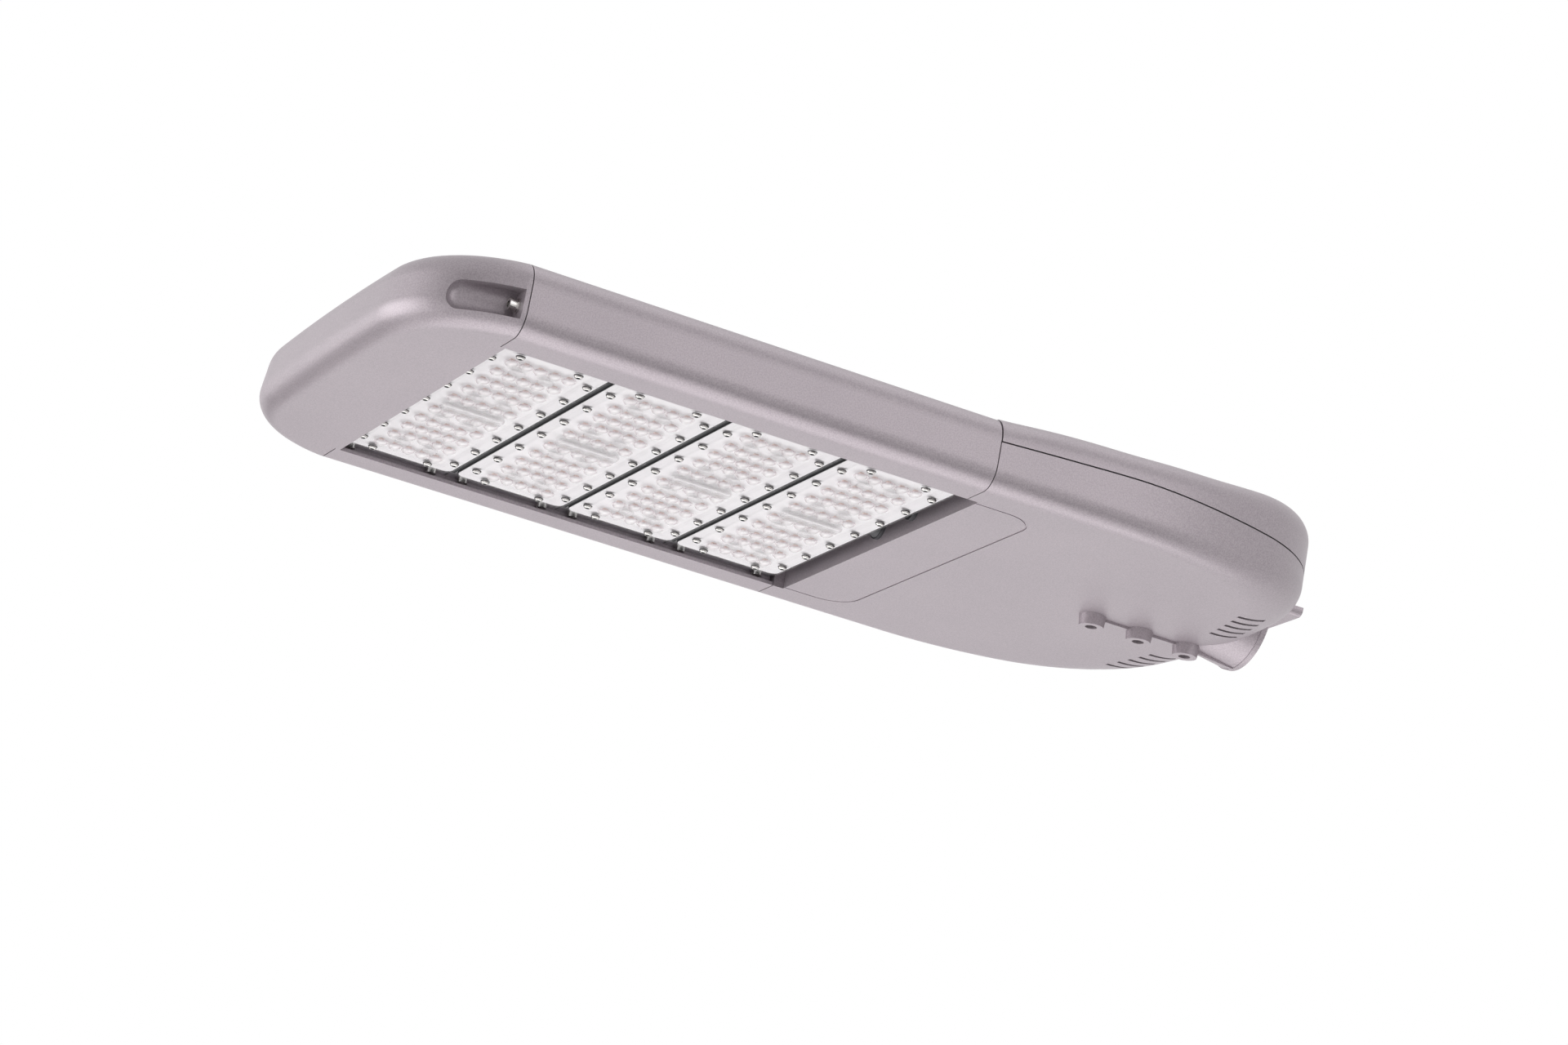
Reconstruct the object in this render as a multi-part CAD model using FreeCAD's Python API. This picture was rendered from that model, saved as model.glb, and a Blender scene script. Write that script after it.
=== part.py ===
import FreeCAD, Part
import math
import os

# Street light head: four lens modules between two side rails, a nose cap in front and a gear
# housing behind. The origin is the middle of the pole socket's mouth. +X runs along the socket
# to the nose, +Z is up and the light leaves downwards. All lengths are in millimetres.

V = FreeCAD.Vector
X_AXIS = V(1, 0, 0)
Y_AXIS = V(0, 1, 0)
Z_AXIS = V(0, 0, 1)

# Lens module field.
module_count = 4
module_pitch = 100.0
rail_rear_x = 354.0
plate_length = 330.0
plate_edge = 2.2
plate_corner = 8.0
plate_thickness = 1.5
gasket_thickness = 2.6
gasket_width = 6.0
dome_rows = 5
dome_row_pitch = 12.0
dome_height = 4.4
dome_base_x = 10.8
dome_base_y = 17.0
dome_top_share = 0.45
board_thickness = 1.6
board_margin = 11.0
chip_size = 3.5
chip_height = 0.7
sink_gap = 1.0
sink_base_thickness = 5.0
fin_count = 11
fin_thickness = 2.2
fin_height = 36.0
channel_width = 16.0
channel_length = 53.0
channel_height = 4.0
flat_boss_radius = 6.8
flat_boss_height = 2.6
column_count = 5
column_first_y = 20.0
column_end_margin = 28.2
column_shift = 5.0
flat_boss_share = 0.155
module_screw_diameter = 5.0
module_screw_head = 8.5
module_screw_head_height = 4.0
module_screw_inset = 14.0
wire_gland_radius = 8.0
wire_gland_height = 15.0

# Body section, shared by the rails, the nose cap and the gear housing.
window_margin = 10.0
rail_lip = 8.0
rail_width = 36.0
ledge_width = 13.0
underside_z = -38.7
rail_top_z = 21.5
plate_recess = 4.7
lower_edge_radius = 18.0
shoulder_radius = 22.0
cast_wall = 3.2
rail_wall = 3.0
running_gap = 0.3
joint_gap = 0.8

# Nose cap.
nose_reach = 89.0
nose_lean = 8.0
nose_corner_share = 1.173
nose_corner_turn = (14.4, 88.1)
port_radius = 5.5
cap_screw_inset = 13.0
cap_screw_z = -15.5
cap_screw_length = 26.0
cap_screw_diameter = 6.0
cap_head_diameter = 10.0
cap_head_height = 6.0
cap_washer_diameter = 12.0
cap_washer_thickness = 1.6
pocket_wall_lead = 4.4
pocket_length = 55.0
pocket_low_z = -28.3
pocket_high_z = -5.0
pocket_depth = 20.5
pocket_fall = 15.0
pocket_floor_radius = 9.5

# Gear housing.
rear_wall_x = 2.0
housing_reach = 233.0
housing_corner_share = 0.601
housing_corner_turn = (20.0, 82.0)
housing_fold_share = 0.1
rear_round_run = 50.0
rear_round_rise = 33.0
seam_gap = 1.2
gasket_rim = 6.0
cover_gasket_height = 2.6
gasket_lip_inset = 0.6
gasket_lip_height = 0.75

# Pole socket.
bore_radius = 31.0
socket_wall = 5.0
socket_depth = 153.0
socket_roof_gap = 0.5
bell_flare = 9.0
bell_length = 62.0
collar_lip = 0.6
mouth_flange = 5.0
boss_end_margin = 12.0
boss_pitch = 45.0
boss_count = 3
boss_radius = 11.5
boss_face_radius = 10.4
boss_drop = 9.6
set_screw_diameter = 10.0
set_screw_recess = 9.0
rib_width = 3.0
rib_drop = 2.2
wing_reach = 51.0
wing_length = 42.0
wing_bottom_z = -17.0
wing_top_z = -9.5

# Cover and its hinge.
crown_rise = 7.0
hinge_inset = 5.0
hinge_drop = 3.5
hinge_half_spacing = 128.0
knuckle_radius = 4.5
pin_radius = 2.0
pin_clearance = 0.05
lug_width = 10.0
ear_width = 6.0
ear_gap = 0.4
cover_screw_inset = 43.0
cover_screw_y = 72.0
cover_screw_radius = 3.0
cover_boss_radius = 7.5
cover_head_radius = 5.0
cover_head_height = 6.0
cover_head_z = 30.0
cover_screw_length = 34.0

# Vents, panel groove and wall fittings of the housing.
vent_count = 5
vent_first_y = 50.0
vent_pitch = 14.5
vent_width = 4.4
vent_length = 25.0
vent_lead = 3.0
panel_length = 57.0
panel_inset = 3.0
panel_corner = 28.0
groove_width = 1.4
gland_radius = 10.0
gland_y = 0.0
gland_z = -20.0
breather_radius = 6.0
breather_y = 60.0

# Gear inside the housing.
post_radius = 6.0
post_height = 4.0
gear_plate_thickness = 2.0
gear_side_room = 69.0
gear_rear_room = 21.0
gear_front_room = 6.8
gear_screw_diameter = 4.0
driver_front_room = 15.0
driver_width = 68.0
driver_length = 236.0
driver_height = 38.0
driver_foot = 10.0
driver_foot_height = 3.0
terminal_inset = 32.0
terminal_side_room = 70.0
terminal_ways = 3
surge_side_room = 66.0
clamp_inset = 8.0
clamp_length = 16.0

# Sizes that follow from the ones above.
window_half_width = plate_length / 2 + window_margin
rail_inner_y = window_half_width + rail_lip
body_half_width = rail_inner_y + rail_width
ledge_inner_y = rail_inner_y - ledge_width
fin_half_length = ledge_inner_y - 3.0
module_screw_y = (ledge_inner_y + rail_inner_y) / 2 + 1.0
module_screw_x = module_pitch / 2 - module_screw_inset
plate_width = module_pitch - 2 * plate_edge
sink_width = module_pitch - sink_gap
column_pitch = (plate_length / 2 - column_end_margin - column_first_y) / (column_count - 1)
field_rear_x = rail_rear_x + 1.0
field_front_x = field_rear_x + module_count * module_pitch
rail_front_x = field_front_x - 2.0
window_front_x = field_front_x - 5.5
window_rear_x = rail_rear_x - 10.0
plate_face_z = underside_z + plate_recess
gasket_z = plate_face_z + plate_thickness
sink_z = gasket_z + gasket_thickness
sink_top_z = sink_z + sink_base_thickness
cap_screw_y = body_half_width - cap_screw_inset
pocket_end_x = rail_front_x + pocket_wall_lead
nose_corner = nose_corner_share * nose_reach
housing_corner = housing_corner_share * housing_reach
housing_round_x = rear_wall_x + housing_reach
housing_length = rail_rear_x - rear_wall_x
skirt_x = window_rear_x - cast_wall
floor_z = underside_z + cast_wall
gear_deck_z = floor_z + post_height + gear_plate_thickness
bell_radius = bore_radius + socket_wall + bell_flare
crown_z = bell_radius + crown_rise
boss_first_x = socket_depth - boss_end_margin
wing_half_width = bell_radius + wing_reach
hinge_x = rail_rear_x - hinge_inset
hinge_z = rail_top_z - hinge_drop
cover_screw_x = rear_wall_x + cover_screw_inset
panel_half_width = window_half_width - panel_inset
gear_plate_x0 = socket_depth + gear_rear_room
gear_plate_x1 = skirt_x - gear_front_room
gear_plate_half_width = body_half_width - gear_side_room
driver_x = gear_plate_x1 - driver_front_room - driver_width / 2
terminal_x = gear_plate_x0 + terminal_inset
terminal_y = gear_plate_half_width - terminal_side_room
surge_y = surge_side_room - gear_plate_half_width

# Extents that are larger than the whole head, for drawing out cutters.
wide = 2 * body_half_width
tall = 4 * crown_z
deep = 2 * (rail_front_x + nose_reach)

# Seam between housing and cover, from the front backwards: share of the housing's length behind
# the rails, and height.
seam_course = [(-0.03, -2.2), (0.10, 0.2), (0.24, 2.6), (0.36, 4.1), (0.50, 4.0),
               (0.62, 3.4), (0.78, 3.0), (1.06, 3.4)]
# Roof of the cover: the same share of the length, and share of the rise from rails to crown.
roof_course = [(-0.045, 0.0), (0.02, 0.04), (0.09, 0.115), (0.17, 0.19), (0.26, 0.24),
               (0.37, 0.285), (0.46, 0.36), (0.56, 0.455), (0.66, 0.61), (0.76, 0.785),
               (0.92, 1.0), (1.06, 1.13)]


def box(x0, x1, y0, y1, z0, z1):
    """A block between two corners."""
    return Part.makeBox(x1 - x0, y1 - y0, z1 - z0, V(x0, y0, z0))


def rod(radius, length, start, direction=Z_AXIS):
    """A cylinder from its start along a direction."""
    return Part.makeCylinder(radius, length, start, direction)


def cone(r0, r1, length, start, direction=Z_AXIS):
    """A cone frustum from its start along a direction."""
    return Part.makeCone(r0, r1, length, start, direction)


def mirrored(shape):
    """The same piece on the other side of the middle plane."""
    return shape.mirror(V(0, 0, 0), Y_AXIS)


def both_sides(shape):
    """A piece and its mirror image."""
    return [shape, mirrored(shape)]


def fuse_all(first, others):
    """One solid from a first shape and those that join it."""
    return first.multiFuse(others).removeSplitter() if others else first


def profile_x(points, x0, x1):
    """A straight-sided section in the YZ plane, drawn out along X."""
    wire = Part.makePolygon([V(x0, y, z) for y, z in points + points[:1]])
    return Part.Face(wire).extrude(V(x1 - x0, 0, 0))


def profile_y(points, y0, y1):
    """A straight-sided section in the XZ plane, drawn out along Y."""
    wire = Part.makePolygon([V(x, y0, z) for x, z in points + points[:1]])
    return Part.Face(wire).extrude(V(0, y1 - y0, 0))


def rounded_plate(length_x, length_y, corner, z0, z1, centre_x=0.0):
    """A plate with round corners, centred on a point of the middle plane."""
    plate = box(centre_x - length_x / 2, centre_x + length_x / 2, -length_y / 2, length_y / 2, z0, z1)
    upright = [e for e in plate.Edges if abs(e.tangentAt(e.FirstParameter).z) > 0.99]
    return plate.makeFillet(corner, upright)


def end_radii(reach, half_width, turn, corner):
    """The side and end radii that close an outline whose corner arc is given."""
    first, last = turn
    sa, ca = math.sin(math.radians(first)), math.cos(math.radians(first))
    sb, cb = math.sin(math.radians(last)), math.cos(math.radians(last))
    left_reach = reach - corner * (sb - sa)
    left_width = half_width - corner * (ca - cb)
    scale = sa * cb - (1 - sb) * (1 - ca)
    side = (left_reach * cb - (1 - sb) * left_width) / scale
    end = (sa * left_width - (1 - ca) * left_reach) / scale
    return side, end


def end_outline(round_x, reach, half_width, turn, corner, straight_x, z, direction):
    """A closed outline in plan: straight sides that end in one blunt end of three arc pairs."""
    first, last = turn
    side, end = end_radii(reach, half_width, turn, corner)
    x, y = round_x, half_width
    start_angle = 0.0
    half = []
    for radius, stop_angle in ((side, first), (corner, last), (end, 90.0)):
        centre_x = x - direction * radius * math.sin(math.radians(start_angle))
        centre_y = y - radius * math.cos(math.radians(start_angle))
        spots = []
        for angle in (start_angle, (start_angle + stop_angle) / 2, stop_angle):
            spots.append((centre_x + direction * radius * math.sin(math.radians(angle)),
                          centre_y + radius * math.cos(math.radians(angle))))
        half.append(spots)
        x, y = spots[-1]
        start_angle = stop_angle
    tip_x = round_x + direction * reach
    edges = [Part.LineSegment(V(straight_x, half_width, z), V(round_x, half_width, z)).toShape()]
    for spots in half[:-1]:
        edges.append(Part.Arc(*[V(px, py, z) for px, py in spots]).toShape())
    start = half[-1][0]
    edges.append(Part.Arc(V(start[0], start[1], z), V(tip_x, 0, z), V(start[0], -start[1], z)).toShape())
    for spots in reversed(half[:-1]):
        edges.append(Part.Arc(*[V(px, -py, z) for px, py in reversed(spots)]).toShape())
    edges.append(Part.LineSegment(V(round_x, -half_width, z), V(straight_x, -half_width, z)).toShape())
    edges.append(Part.LineSegment(V(straight_x, -half_width, z), V(straight_x, half_width, z)).toShape())
    return Part.Wire(edges)


def edge_inset(rise, run, height):
    """How far a quarter-round edge stands in at a height below its own rise."""
    if rise >= height:
        return 0.0
    return run * (1 - math.sqrt(1 - ((height - rise) / height) ** 2))


def cap_body(skin):
    """The nose cap's outer body, or with a skin its inner space."""
    wires = []
    for z, lean in ((underside_z + skin, 0.0), (rail_top_z - skin, nose_lean)):
        wires.append(end_outline(rail_front_x, nose_reach - skin - lean, body_half_width - skin,
                                 nose_corner_turn, nose_corner - skin - lean / 2,
                                 rail_front_x - 10, z, 1))
    body = Part.makeLoft(wires, True, True)
    low = [e for e in body.Edges if abs(e.CenterOfMass.z - underside_z - skin) < 0.01
           and e.BoundBox.XLength > 0.5 or is_tip(e, underside_z + skin)]
    body = body.makeFillet(lower_edge_radius - skin, low)
    high = [e for e in body.Edges if abs(e.CenterOfMass.z - rail_top_z + skin) < 0.01
            and e.BoundBox.XLength > 0.5 or is_tip(e, rail_top_z - skin)]
    return body.makeFillet(shoulder_radius - skin, high)


def is_tip(edge, z):
    """Whether an edge is the outline's foremost arc at a height."""
    return abs(edge.CenterOfMass.z - z) < 0.01 and edge.CenterOfMass.x > rail_front_x


def scoop(extra):
    """The long scoop in the nose cap's side, rounded at its tip, or with extra its wall."""
    low = pocket_low_z - extra
    high = pocket_high_z + extra
    half = (high - low) / 2
    middle = (high + low) / 2
    start = pocket_end_x - extra
    bend = pocket_end_x + pocket_length + extra - half
    outer_y = body_half_width + 10
    floor_y = body_half_width - pocket_depth - extra
    edges = [
        Part.LineSegment(V(start, outer_y, high), V(start, outer_y, low)).toShape(),
        Part.LineSegment(V(start, outer_y, low), V(bend, outer_y, low)).toShape(),
        Part.Arc(V(bend, outer_y, low), V(bend + half, outer_y, middle),
                 V(bend, outer_y, high)).toShape(),
        Part.LineSegment(V(bend, outer_y, high), V(start, outer_y, high)).toShape(),
    ]
    drawn = Part.Face(Part.Wire(edges)).extrude(V(0, floor_y - pocket_fall - 10 - outer_y, 0))
    slope = pocket_fall / pocket_length
    far = start + 2 * pocket_length
    plan = Part.makePolygon([V(start - 1, floor_y + slope, low - 1), V(far, floor_y - slope * (far - start), low - 1),
                             V(far, outer_y + 1, low - 1), V(start - 1, outer_y + 1, low - 1),
                             V(start - 1, floor_y + slope, low - 1)])
    body = drawn.common(Part.Face(plan).extrude(V(0, 0, high - low + 2)))
    floor = [f for f in body.Faces if abs(f.normalAt(0.5, 0.5).y) > 0.9
             and f.CenterOfMass.y < (floor_y + outer_y) / 2]
    long_edges = [e for e in floor[0].Edges if e.BoundBox.XLength > half + 1 and e.BoundBox.ZLength < 1]
    return body.makeFillet(pocket_floor_radius + extra, long_edges)


def nose_cap():
    """The die-cast cap that closes the front, with a scoop and a screw seat on each side."""
    outer = cap_body(0.0)
    inner = cap_body(cast_wall)
    rear = rail_front_x - nose_reach
    behind = box(rear, rail_front_x + joint_gap, -wide, wide, -tall, tall)
    shell = outer.cut(behind)
    pocket_wall = scoop(rail_wall).common(outer).cut(behind)
    space = inner.cut(box(rear, rail_front_x - 1, -wide, wide, -tall, tall))
    shell = shell.cut(space)
    shell = fuse_all(shell, both_sides(pocket_wall))
    shell = shell.cut(both_sides(scoop(0.0)))
    lip = box(window_front_x, rail_front_x + 8, -window_half_width, window_half_width,
              underside_z, underside_z + cast_wall)
    shell = shell.fuse(lip)
    bolt = rod(cap_screw_diameter / 2 + 0.3, 30, V(rail_front_x - 5, cap_screw_y, cap_screw_z), X_AXIS)
    return shell.cut(both_sides(bolt)).removeSplitter()


def rail_outline(skin, inner_y):
    """The closed section of a side rail, or with a skin its hollow."""
    side = body_half_width - skin
    low_r = lower_edge_radius - skin
    high_r = shoulder_radius - skin
    low_z = underside_z + skin
    high_z = rail_top_z - skin
    diagonal = math.sqrt(0.5)

    def at(y, z):
        return V(0, y, z)
    edges = [
        Part.LineSegment(at(inner_y, low_z), at(side - low_r, low_z)).toShape(),
        Part.Arc(at(side - low_r, low_z),
                 at(side - low_r * (1 - diagonal), low_z + low_r * (1 - diagonal)),
                 at(side, low_z + low_r)).toShape(),
        Part.LineSegment(at(side, low_z + low_r), at(side, high_z - high_r)).toShape(),
        Part.Arc(at(side, high_z - high_r),
                 at(side - high_r * (1 - diagonal), high_z - high_r * (1 - diagonal)),
                 at(side - high_r, high_z)).toShape(),
        Part.LineSegment(at(side - high_r, high_z), at(inner_y, high_z)).toShape(),
        Part.LineSegment(at(inner_y, high_z), at(inner_y, low_z)).toShape(),
    ]
    return Part.Face(Part.Wire(edges))


def side_rail():
    """The hollow extrusion on the near side, with flange, module ledge and screw port."""
    length = rail_front_x - rail_rear_x
    start = V(rail_rear_x, 0, 0)
    body = rail_outline(0.0, rail_inner_y).extrude(V(length, 0, 0))
    hollow = rail_outline(rail_wall, rail_inner_y + rail_wall).extrude(V(length, 0, 0))
    body.translate(start)
    hollow.translate(start)
    flange = box(rail_rear_x, rail_front_x, window_half_width, rail_inner_y,
                 underside_z, underside_z + rail_wall)
    ledge = box(rail_rear_x, rail_front_x, ledge_inner_y, rail_inner_y,
                sink_top_z, sink_top_z + rail_wall)
    port_start = V(rail_rear_x, cap_screw_y, cap_screw_z)
    port = rod(port_radius, length, port_start, X_AXIS)
    web = box(rail_rear_x, rail_front_x, cap_screw_y, body_half_width - rail_wall / 2,
              cap_screw_z - rail_wall / 2, cap_screw_z + rail_wall / 2)
    rail = fuse_all(body.cut(hollow), [flange, ledge, port, web])
    rail = rail.cut(rod(cap_screw_diameter / 2 + 0.02, length, port_start, X_AXIS))
    holes = []
    for x in module_centres():
        for step in (-1, 1):
            place = V(x + step * module_screw_x, module_screw_y, sink_top_z - 1)
            holes.append(rod(module_screw_diameter / 2 + 0.02, rail_wall + 2, place))
    return rail.cut(holes)


def module_centres():
    """Where the lens modules lie along X, from the rear one on."""
    return [field_rear_x + module_pitch * (i + 0.5) for i in range(module_count)]


def frustum(length_x, length_y, share, z0, z1, place):
    """A block with slanting sides, as wide as stated at z0 and a share of that at z1."""
    wires = []
    for z, scale in ((z0, 1.0), (z1, share)):
        half_x = length_x * scale / 2
        half_y = length_y * scale / 2
        corners = [V(-half_x, -half_y, z), V(half_x, -half_y, z), V(half_x, half_y, z),
                   V(-half_x, half_y, z), V(-half_x, -half_y, z)]
        wires.append(Part.makePolygon(corners))
    solid = Part.makeLoft(wires, True, True)
    solid.translate(place)
    return solid


def dome_places():
    """The middle of each lens dome on its plate: the inner rows make room for the flat bosses."""
    middle = (dome_rows - 1) / 2
    places = []
    for row in range(dome_rows):
        inner_row = abs(row - middle) < middle
        for column in range(column_count):
            y = column_first_y + column * column_pitch
            if inner_row and column == 1:
                y += column_shift
            if inner_row and column == column_count - 2:
                y -= column_shift
            x = (row - middle) * dome_row_pitch
            places += [(x, y), (x, -y)]
    return places


def lens_plate():
    """The moulded lens plate with its domes, flat bosses and wire channel, on its own middle."""
    top = plate_face_z + plate_thickness
    plate = rounded_plate(plate_width, plate_length, plate_corner, plate_face_z, top)
    raised = []
    column_span = column_pitch * (column_count - 1)
    for x, y in dome_places():
        raised.append(frustum(dome_base_x, dome_base_y, dome_top_share,
                              plate_face_z, plate_face_z - dome_height, V(x, y, 0)))
    for x in (-dome_row_pitch, dome_row_pitch):
        first = column_first_y + flat_boss_share * column_span
        for y in (first, first + (1 - 2 * flat_boss_share) * column_span):
            for side in (-1, 1):
                start = V(x, side * y, plate_face_z - flat_boss_height)
                raised.append(rod(flat_boss_radius, flat_boss_height, start))
    raised.append(frustum(channel_length, channel_width, 0.8,
                          plate_face_z, plate_face_z - channel_height, V(0, 0, 0)))
    return plate.multiFuse(raised)


def lens_gasket():
    """The silicone frame between a lens plate and its heat sink."""
    outer = rounded_plate(plate_width, plate_length, plate_corner, gasket_z, sink_z)
    inner = rounded_plate(plate_width - 2 * gasket_width, plate_length - 2 * gasket_width,
                          plate_corner - gasket_width / 2, gasket_z, sink_z)
    return outer.cut(inner)


def led_board():
    """The metal-core board under a heat sink."""
    half_x = plate_width / 2 - board_margin
    half_y = plate_length / 2 - board_margin
    return box(-half_x, half_x, -half_y, half_y, sink_z - board_thickness, sink_z)


def led_chips():
    """The light-emitting chips, one over each dome, as separate solids."""
    half = chip_size / 2
    z1 = sink_z - board_thickness
    chips = [box(x - half, x + half, y - half, y + half, z1 - chip_height, z1)
             for x, y in dome_places()]
    return Part.makeCompound(chips)


def heat_sink():
    """The finned extrusion that carries one module between the rails."""
    half = sink_width / 2
    length = rail_inner_y - running_gap
    base = box(-half, half, -length, length, sink_z, sink_top_z)
    pitch = (sink_width - fin_thickness) / (fin_count - 1)
    points = [(-half, sink_top_z - 1)]
    for i in range(fin_count):
        x = -half + i * pitch
        points += [(x, sink_top_z), (x, sink_top_z + fin_height),
                   (x + fin_thickness, sink_top_z + fin_height), (x + fin_thickness, sink_top_z)]
    points.append((half, sink_top_z - 1))
    fins = profile_y(points[:1] + points[2:-2] + points[-1:], -fin_half_length, fin_half_length)
    clear = rod(wire_gland_radius + 4, fin_height + 5, V(0, 0, sink_top_z))
    sink = base.fuse(fins.cut(clear)).removeSplitter()
    for step in (-1, 1):
        for side in (-1, 1):
            place = V(step * module_screw_x, side * module_screw_y, sink_z - 1)
            sink = sink.cut(rod(module_screw_diameter / 2 + 0.3, sink_base_thickness + 2, place))
    return sink.cut(rod(wire_gland_radius / 2 + 0.3, sink_base_thickness + 2, V(0, 0, sink_z - 1)))


def wire_gland():
    """The sealed wire entry on top of a heat sink's base."""
    body = rod(wire_gland_radius, wire_gland_height - 4, V(0, 0, sink_top_z))
    nut_start = V(0, 0, sink_top_z + wire_gland_height - 4)
    nut = cone(wire_gland_radius, wire_gland_radius - 2.5, 4, nut_start)
    stem = rod(wire_gland_radius / 2, sink_base_thickness + 1, V(0, 0, sink_z))
    gland = fuse_all(body, [nut, stem])
    return gland.cut(rod(wire_gland_radius / 2 - 1.2, 40, V(0, 0, sink_z - 5)))


def module_screws():
    """The screws that hold each heat sink up against the rails' ledges."""
    screws = []
    for x in module_centres():
        for step in (-1, 1):
            for side in (-1, 1):
                place = V(x + step * module_screw_x, side * module_screw_y, sink_z)
                head = rod(module_screw_head / 2, module_screw_head_height,
                           place - V(0, 0, module_screw_head_height))
                shank = rod(module_screw_diameter / 2, sink_base_thickness + rail_wall + 1, place)
                screws.append(head.fuse(shank))
    return Part.makeCompound(screws)


def nose_cap_screws():
    """The cap screw in each scoop, driven into the rail's screw port."""
    seat_x = pocket_end_x + cap_washer_thickness
    head = rod(cap_head_diameter / 2, cap_head_height, V(seat_x, cap_screw_y, cap_screw_z), X_AXIS)
    shank = rod(cap_screw_diameter / 2, cap_screw_length,
                V(seat_x - cap_screw_length, cap_screw_y, cap_screw_z), X_AXIS)
    socket = rod(2.6, 3.2, V(seat_x + cap_head_height - 3.2, cap_screw_y, cap_screw_z), X_AXIS)
    return Part.makeCompound(both_sides(head.fuse(shank).cut(socket)))


def nose_cap_washers():
    """The washer under each cap screw's head."""
    start = V(pocket_end_x, cap_screw_y, cap_screw_z)
    disc = rod(cap_washer_diameter / 2, cap_washer_thickness, start, X_AXIS)
    hole = rod(cap_screw_diameter / 2 + 0.2, cap_washer_thickness, start, X_AXIS)
    return Part.makeCompound(both_sides(disc.cut(hole)))


# Gear housing, cover and socket.


def seam_wire_points(lift):
    """The seam's course in the XZ plane, raised by a lift."""
    return [V(rail_rear_x - share * housing_length, 0, z + lift) for share, z in seam_course]


def roof_points(skin):
    """The roof's course in the XZ plane, lowered by a skin."""
    rise = crown_z - rail_top_z
    return [V(rail_rear_x - share * housing_length, 0, rail_top_z + height * rise - skin)
            for share, height in roof_course]


def slab_y(top_points, bottom_z):
    """Everything below a smooth course in the XZ plane, drawn out along Y."""
    curve = Part.BSplineCurve()
    curve.interpolate(top_points)
    first = top_points[0]
    last = top_points[-1]
    low_last = V(last.x, 0, bottom_z)
    low_first = V(first.x, 0, bottom_z)
    wire = Part.Wire([curve.toShape(), Part.LineSegment(last, low_last).toShape(),
                      Part.LineSegment(low_last, low_first).toShape(),
                      Part.LineSegment(low_first, first).toShape()])
    face = Part.Face(wire)
    face.translate(V(0, -wide, 0))
    return face.extrude(V(0, 2 * wide, 0))


def below_seam(lift):
    """Everything in the housing's reach that lies below the raised seam."""
    return slab_y(seam_wire_points(lift), underside_z - 40)


def housing_outline(skin, z, side_inset=0.0, rear_inset=0.0, front_x=None):
    """The gear housing's outline in plan at a height."""
    front = rail_rear_x - joint_gap if front_x is None else front_x
    corner = housing_corner - skin - housing_fold_share * (side_inset + rear_inset)
    return end_outline(housing_round_x, housing_reach - skin - rear_inset,
                       body_half_width - skin - side_inset, housing_corner_turn, corner,
                       front, z, -1)


def cut_front(body, front_x):
    """A body of the housing, cut square at its front."""
    return body.cut(box(front_x, front_x + deep, -wide, wide, -tall, tall))


def housing_bowl(skin, front_x=None):
    """The lower part of the housing's body: the underside and its rounded edge."""
    front = rail_rear_x - joint_gap if front_x is None else front_x
    rise = rear_round_rise - skin
    run = rear_round_run - skin
    low = lower_edge_radius - skin
    wires = []
    for share in (0.0, 0.04, 0.11, 0.23, 0.38, 0.55, 0.77, 1.0):
        height = share * rise
        wires.append(housing_outline(skin, underside_z + skin + height, edge_inset(height, low, low),
                                     edge_inset(height, run, rise), front + 20))
    return cut_front(Part.makeLoft(wires, True, False), front)


def housing_column(skin, top_z, front_x=None):
    """The upright part of the housing's body above its rounded edge."""
    low_z = underside_z + rear_round_rise
    face = Part.Face(housing_outline(skin, low_z, front_x=front_x))
    return face.extrude(V(0, 0, top_z - low_z))


def rim_ring(inset, width, lift_low, lift_high, front_x):
    """A strip that follows the seam inside the housing's wall."""
    outer = housing_column(inset, crown_z, front_x)
    inner = housing_column(inset + width, crown_z, front_x - width)
    ring = outer.cut(inner)
    return ring.common(below_seam(lift_high)).cut(below_seam(lift_low))


def pole_socket():
    """The tube that takes the pole, its flared bell, set screw bosses and rib."""
    tube = rod(bore_radius + socket_wall, socket_depth, V(0, 0, 0), X_AXIS)
    tube = tube.common(slab_y(roof_points(cast_wall + socket_roof_gap), -tall))
    bell = cone(bell_radius, bore_radius + socket_wall, bell_length,
                V(mouth_flange, 0, 0), X_AXIS)
    collar = rod(bell_radius + collar_lip, mouth_flange, V(0, 0, 0), X_AXIS)
    pieces = [bell, collar]
    for x in boss_places():
        low = V(x, 0, underside_z - boss_drop)
        pieces.append(cone(boss_face_radius, boss_radius, boss_drop + 1, low))
        pieces.append(rod(boss_radius, -underside_z - bore_radius + 1, V(x, 0, underside_z)))
    rib = profile_y([(boss_first_x, underside_z + 2), (boss_first_x, underside_z - rib_drop),
                     (bell_length, underside_z - rib_drop), (mouth_flange, -bell_radius - 1.2),
                     (mouth_flange, -bell_radius + 3), (bell_length, underside_z + 2)],
                    -rib_width / 2, rib_width / 2)
    pieces.append(rib)
    return tube, pieces


def socket_clearance(extra):
    """The room that the socket's collar, bell and tube need, with a gap all round."""
    tube = rod(bore_radius + socket_wall + extra, bell_length + 20, V(0, 0, 0), X_AXIS)
    bell = cone(bell_radius + extra, bore_radius + socket_wall + extra, bell_length,
                V(mouth_flange, 0, 0), X_AXIS)
    collar = rod(bell_radius + collar_lip + extra, mouth_flange + extra + 10, V(-10, 0, 0), X_AXIS)
    return tube.multiFuse([bell, collar])


def boss_places():
    """Where the set screws lie along the socket."""
    return [boss_first_x - i * boss_pitch for i in range(boss_count)]


def set_screw_hole(x):
    """The threaded hole of one set screw, from its boss into the bore."""
    start = V(x, 0, underside_z - boss_drop - 1)
    return rod(set_screw_diameter / 2 + 0.02, -start.z, start)


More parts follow.
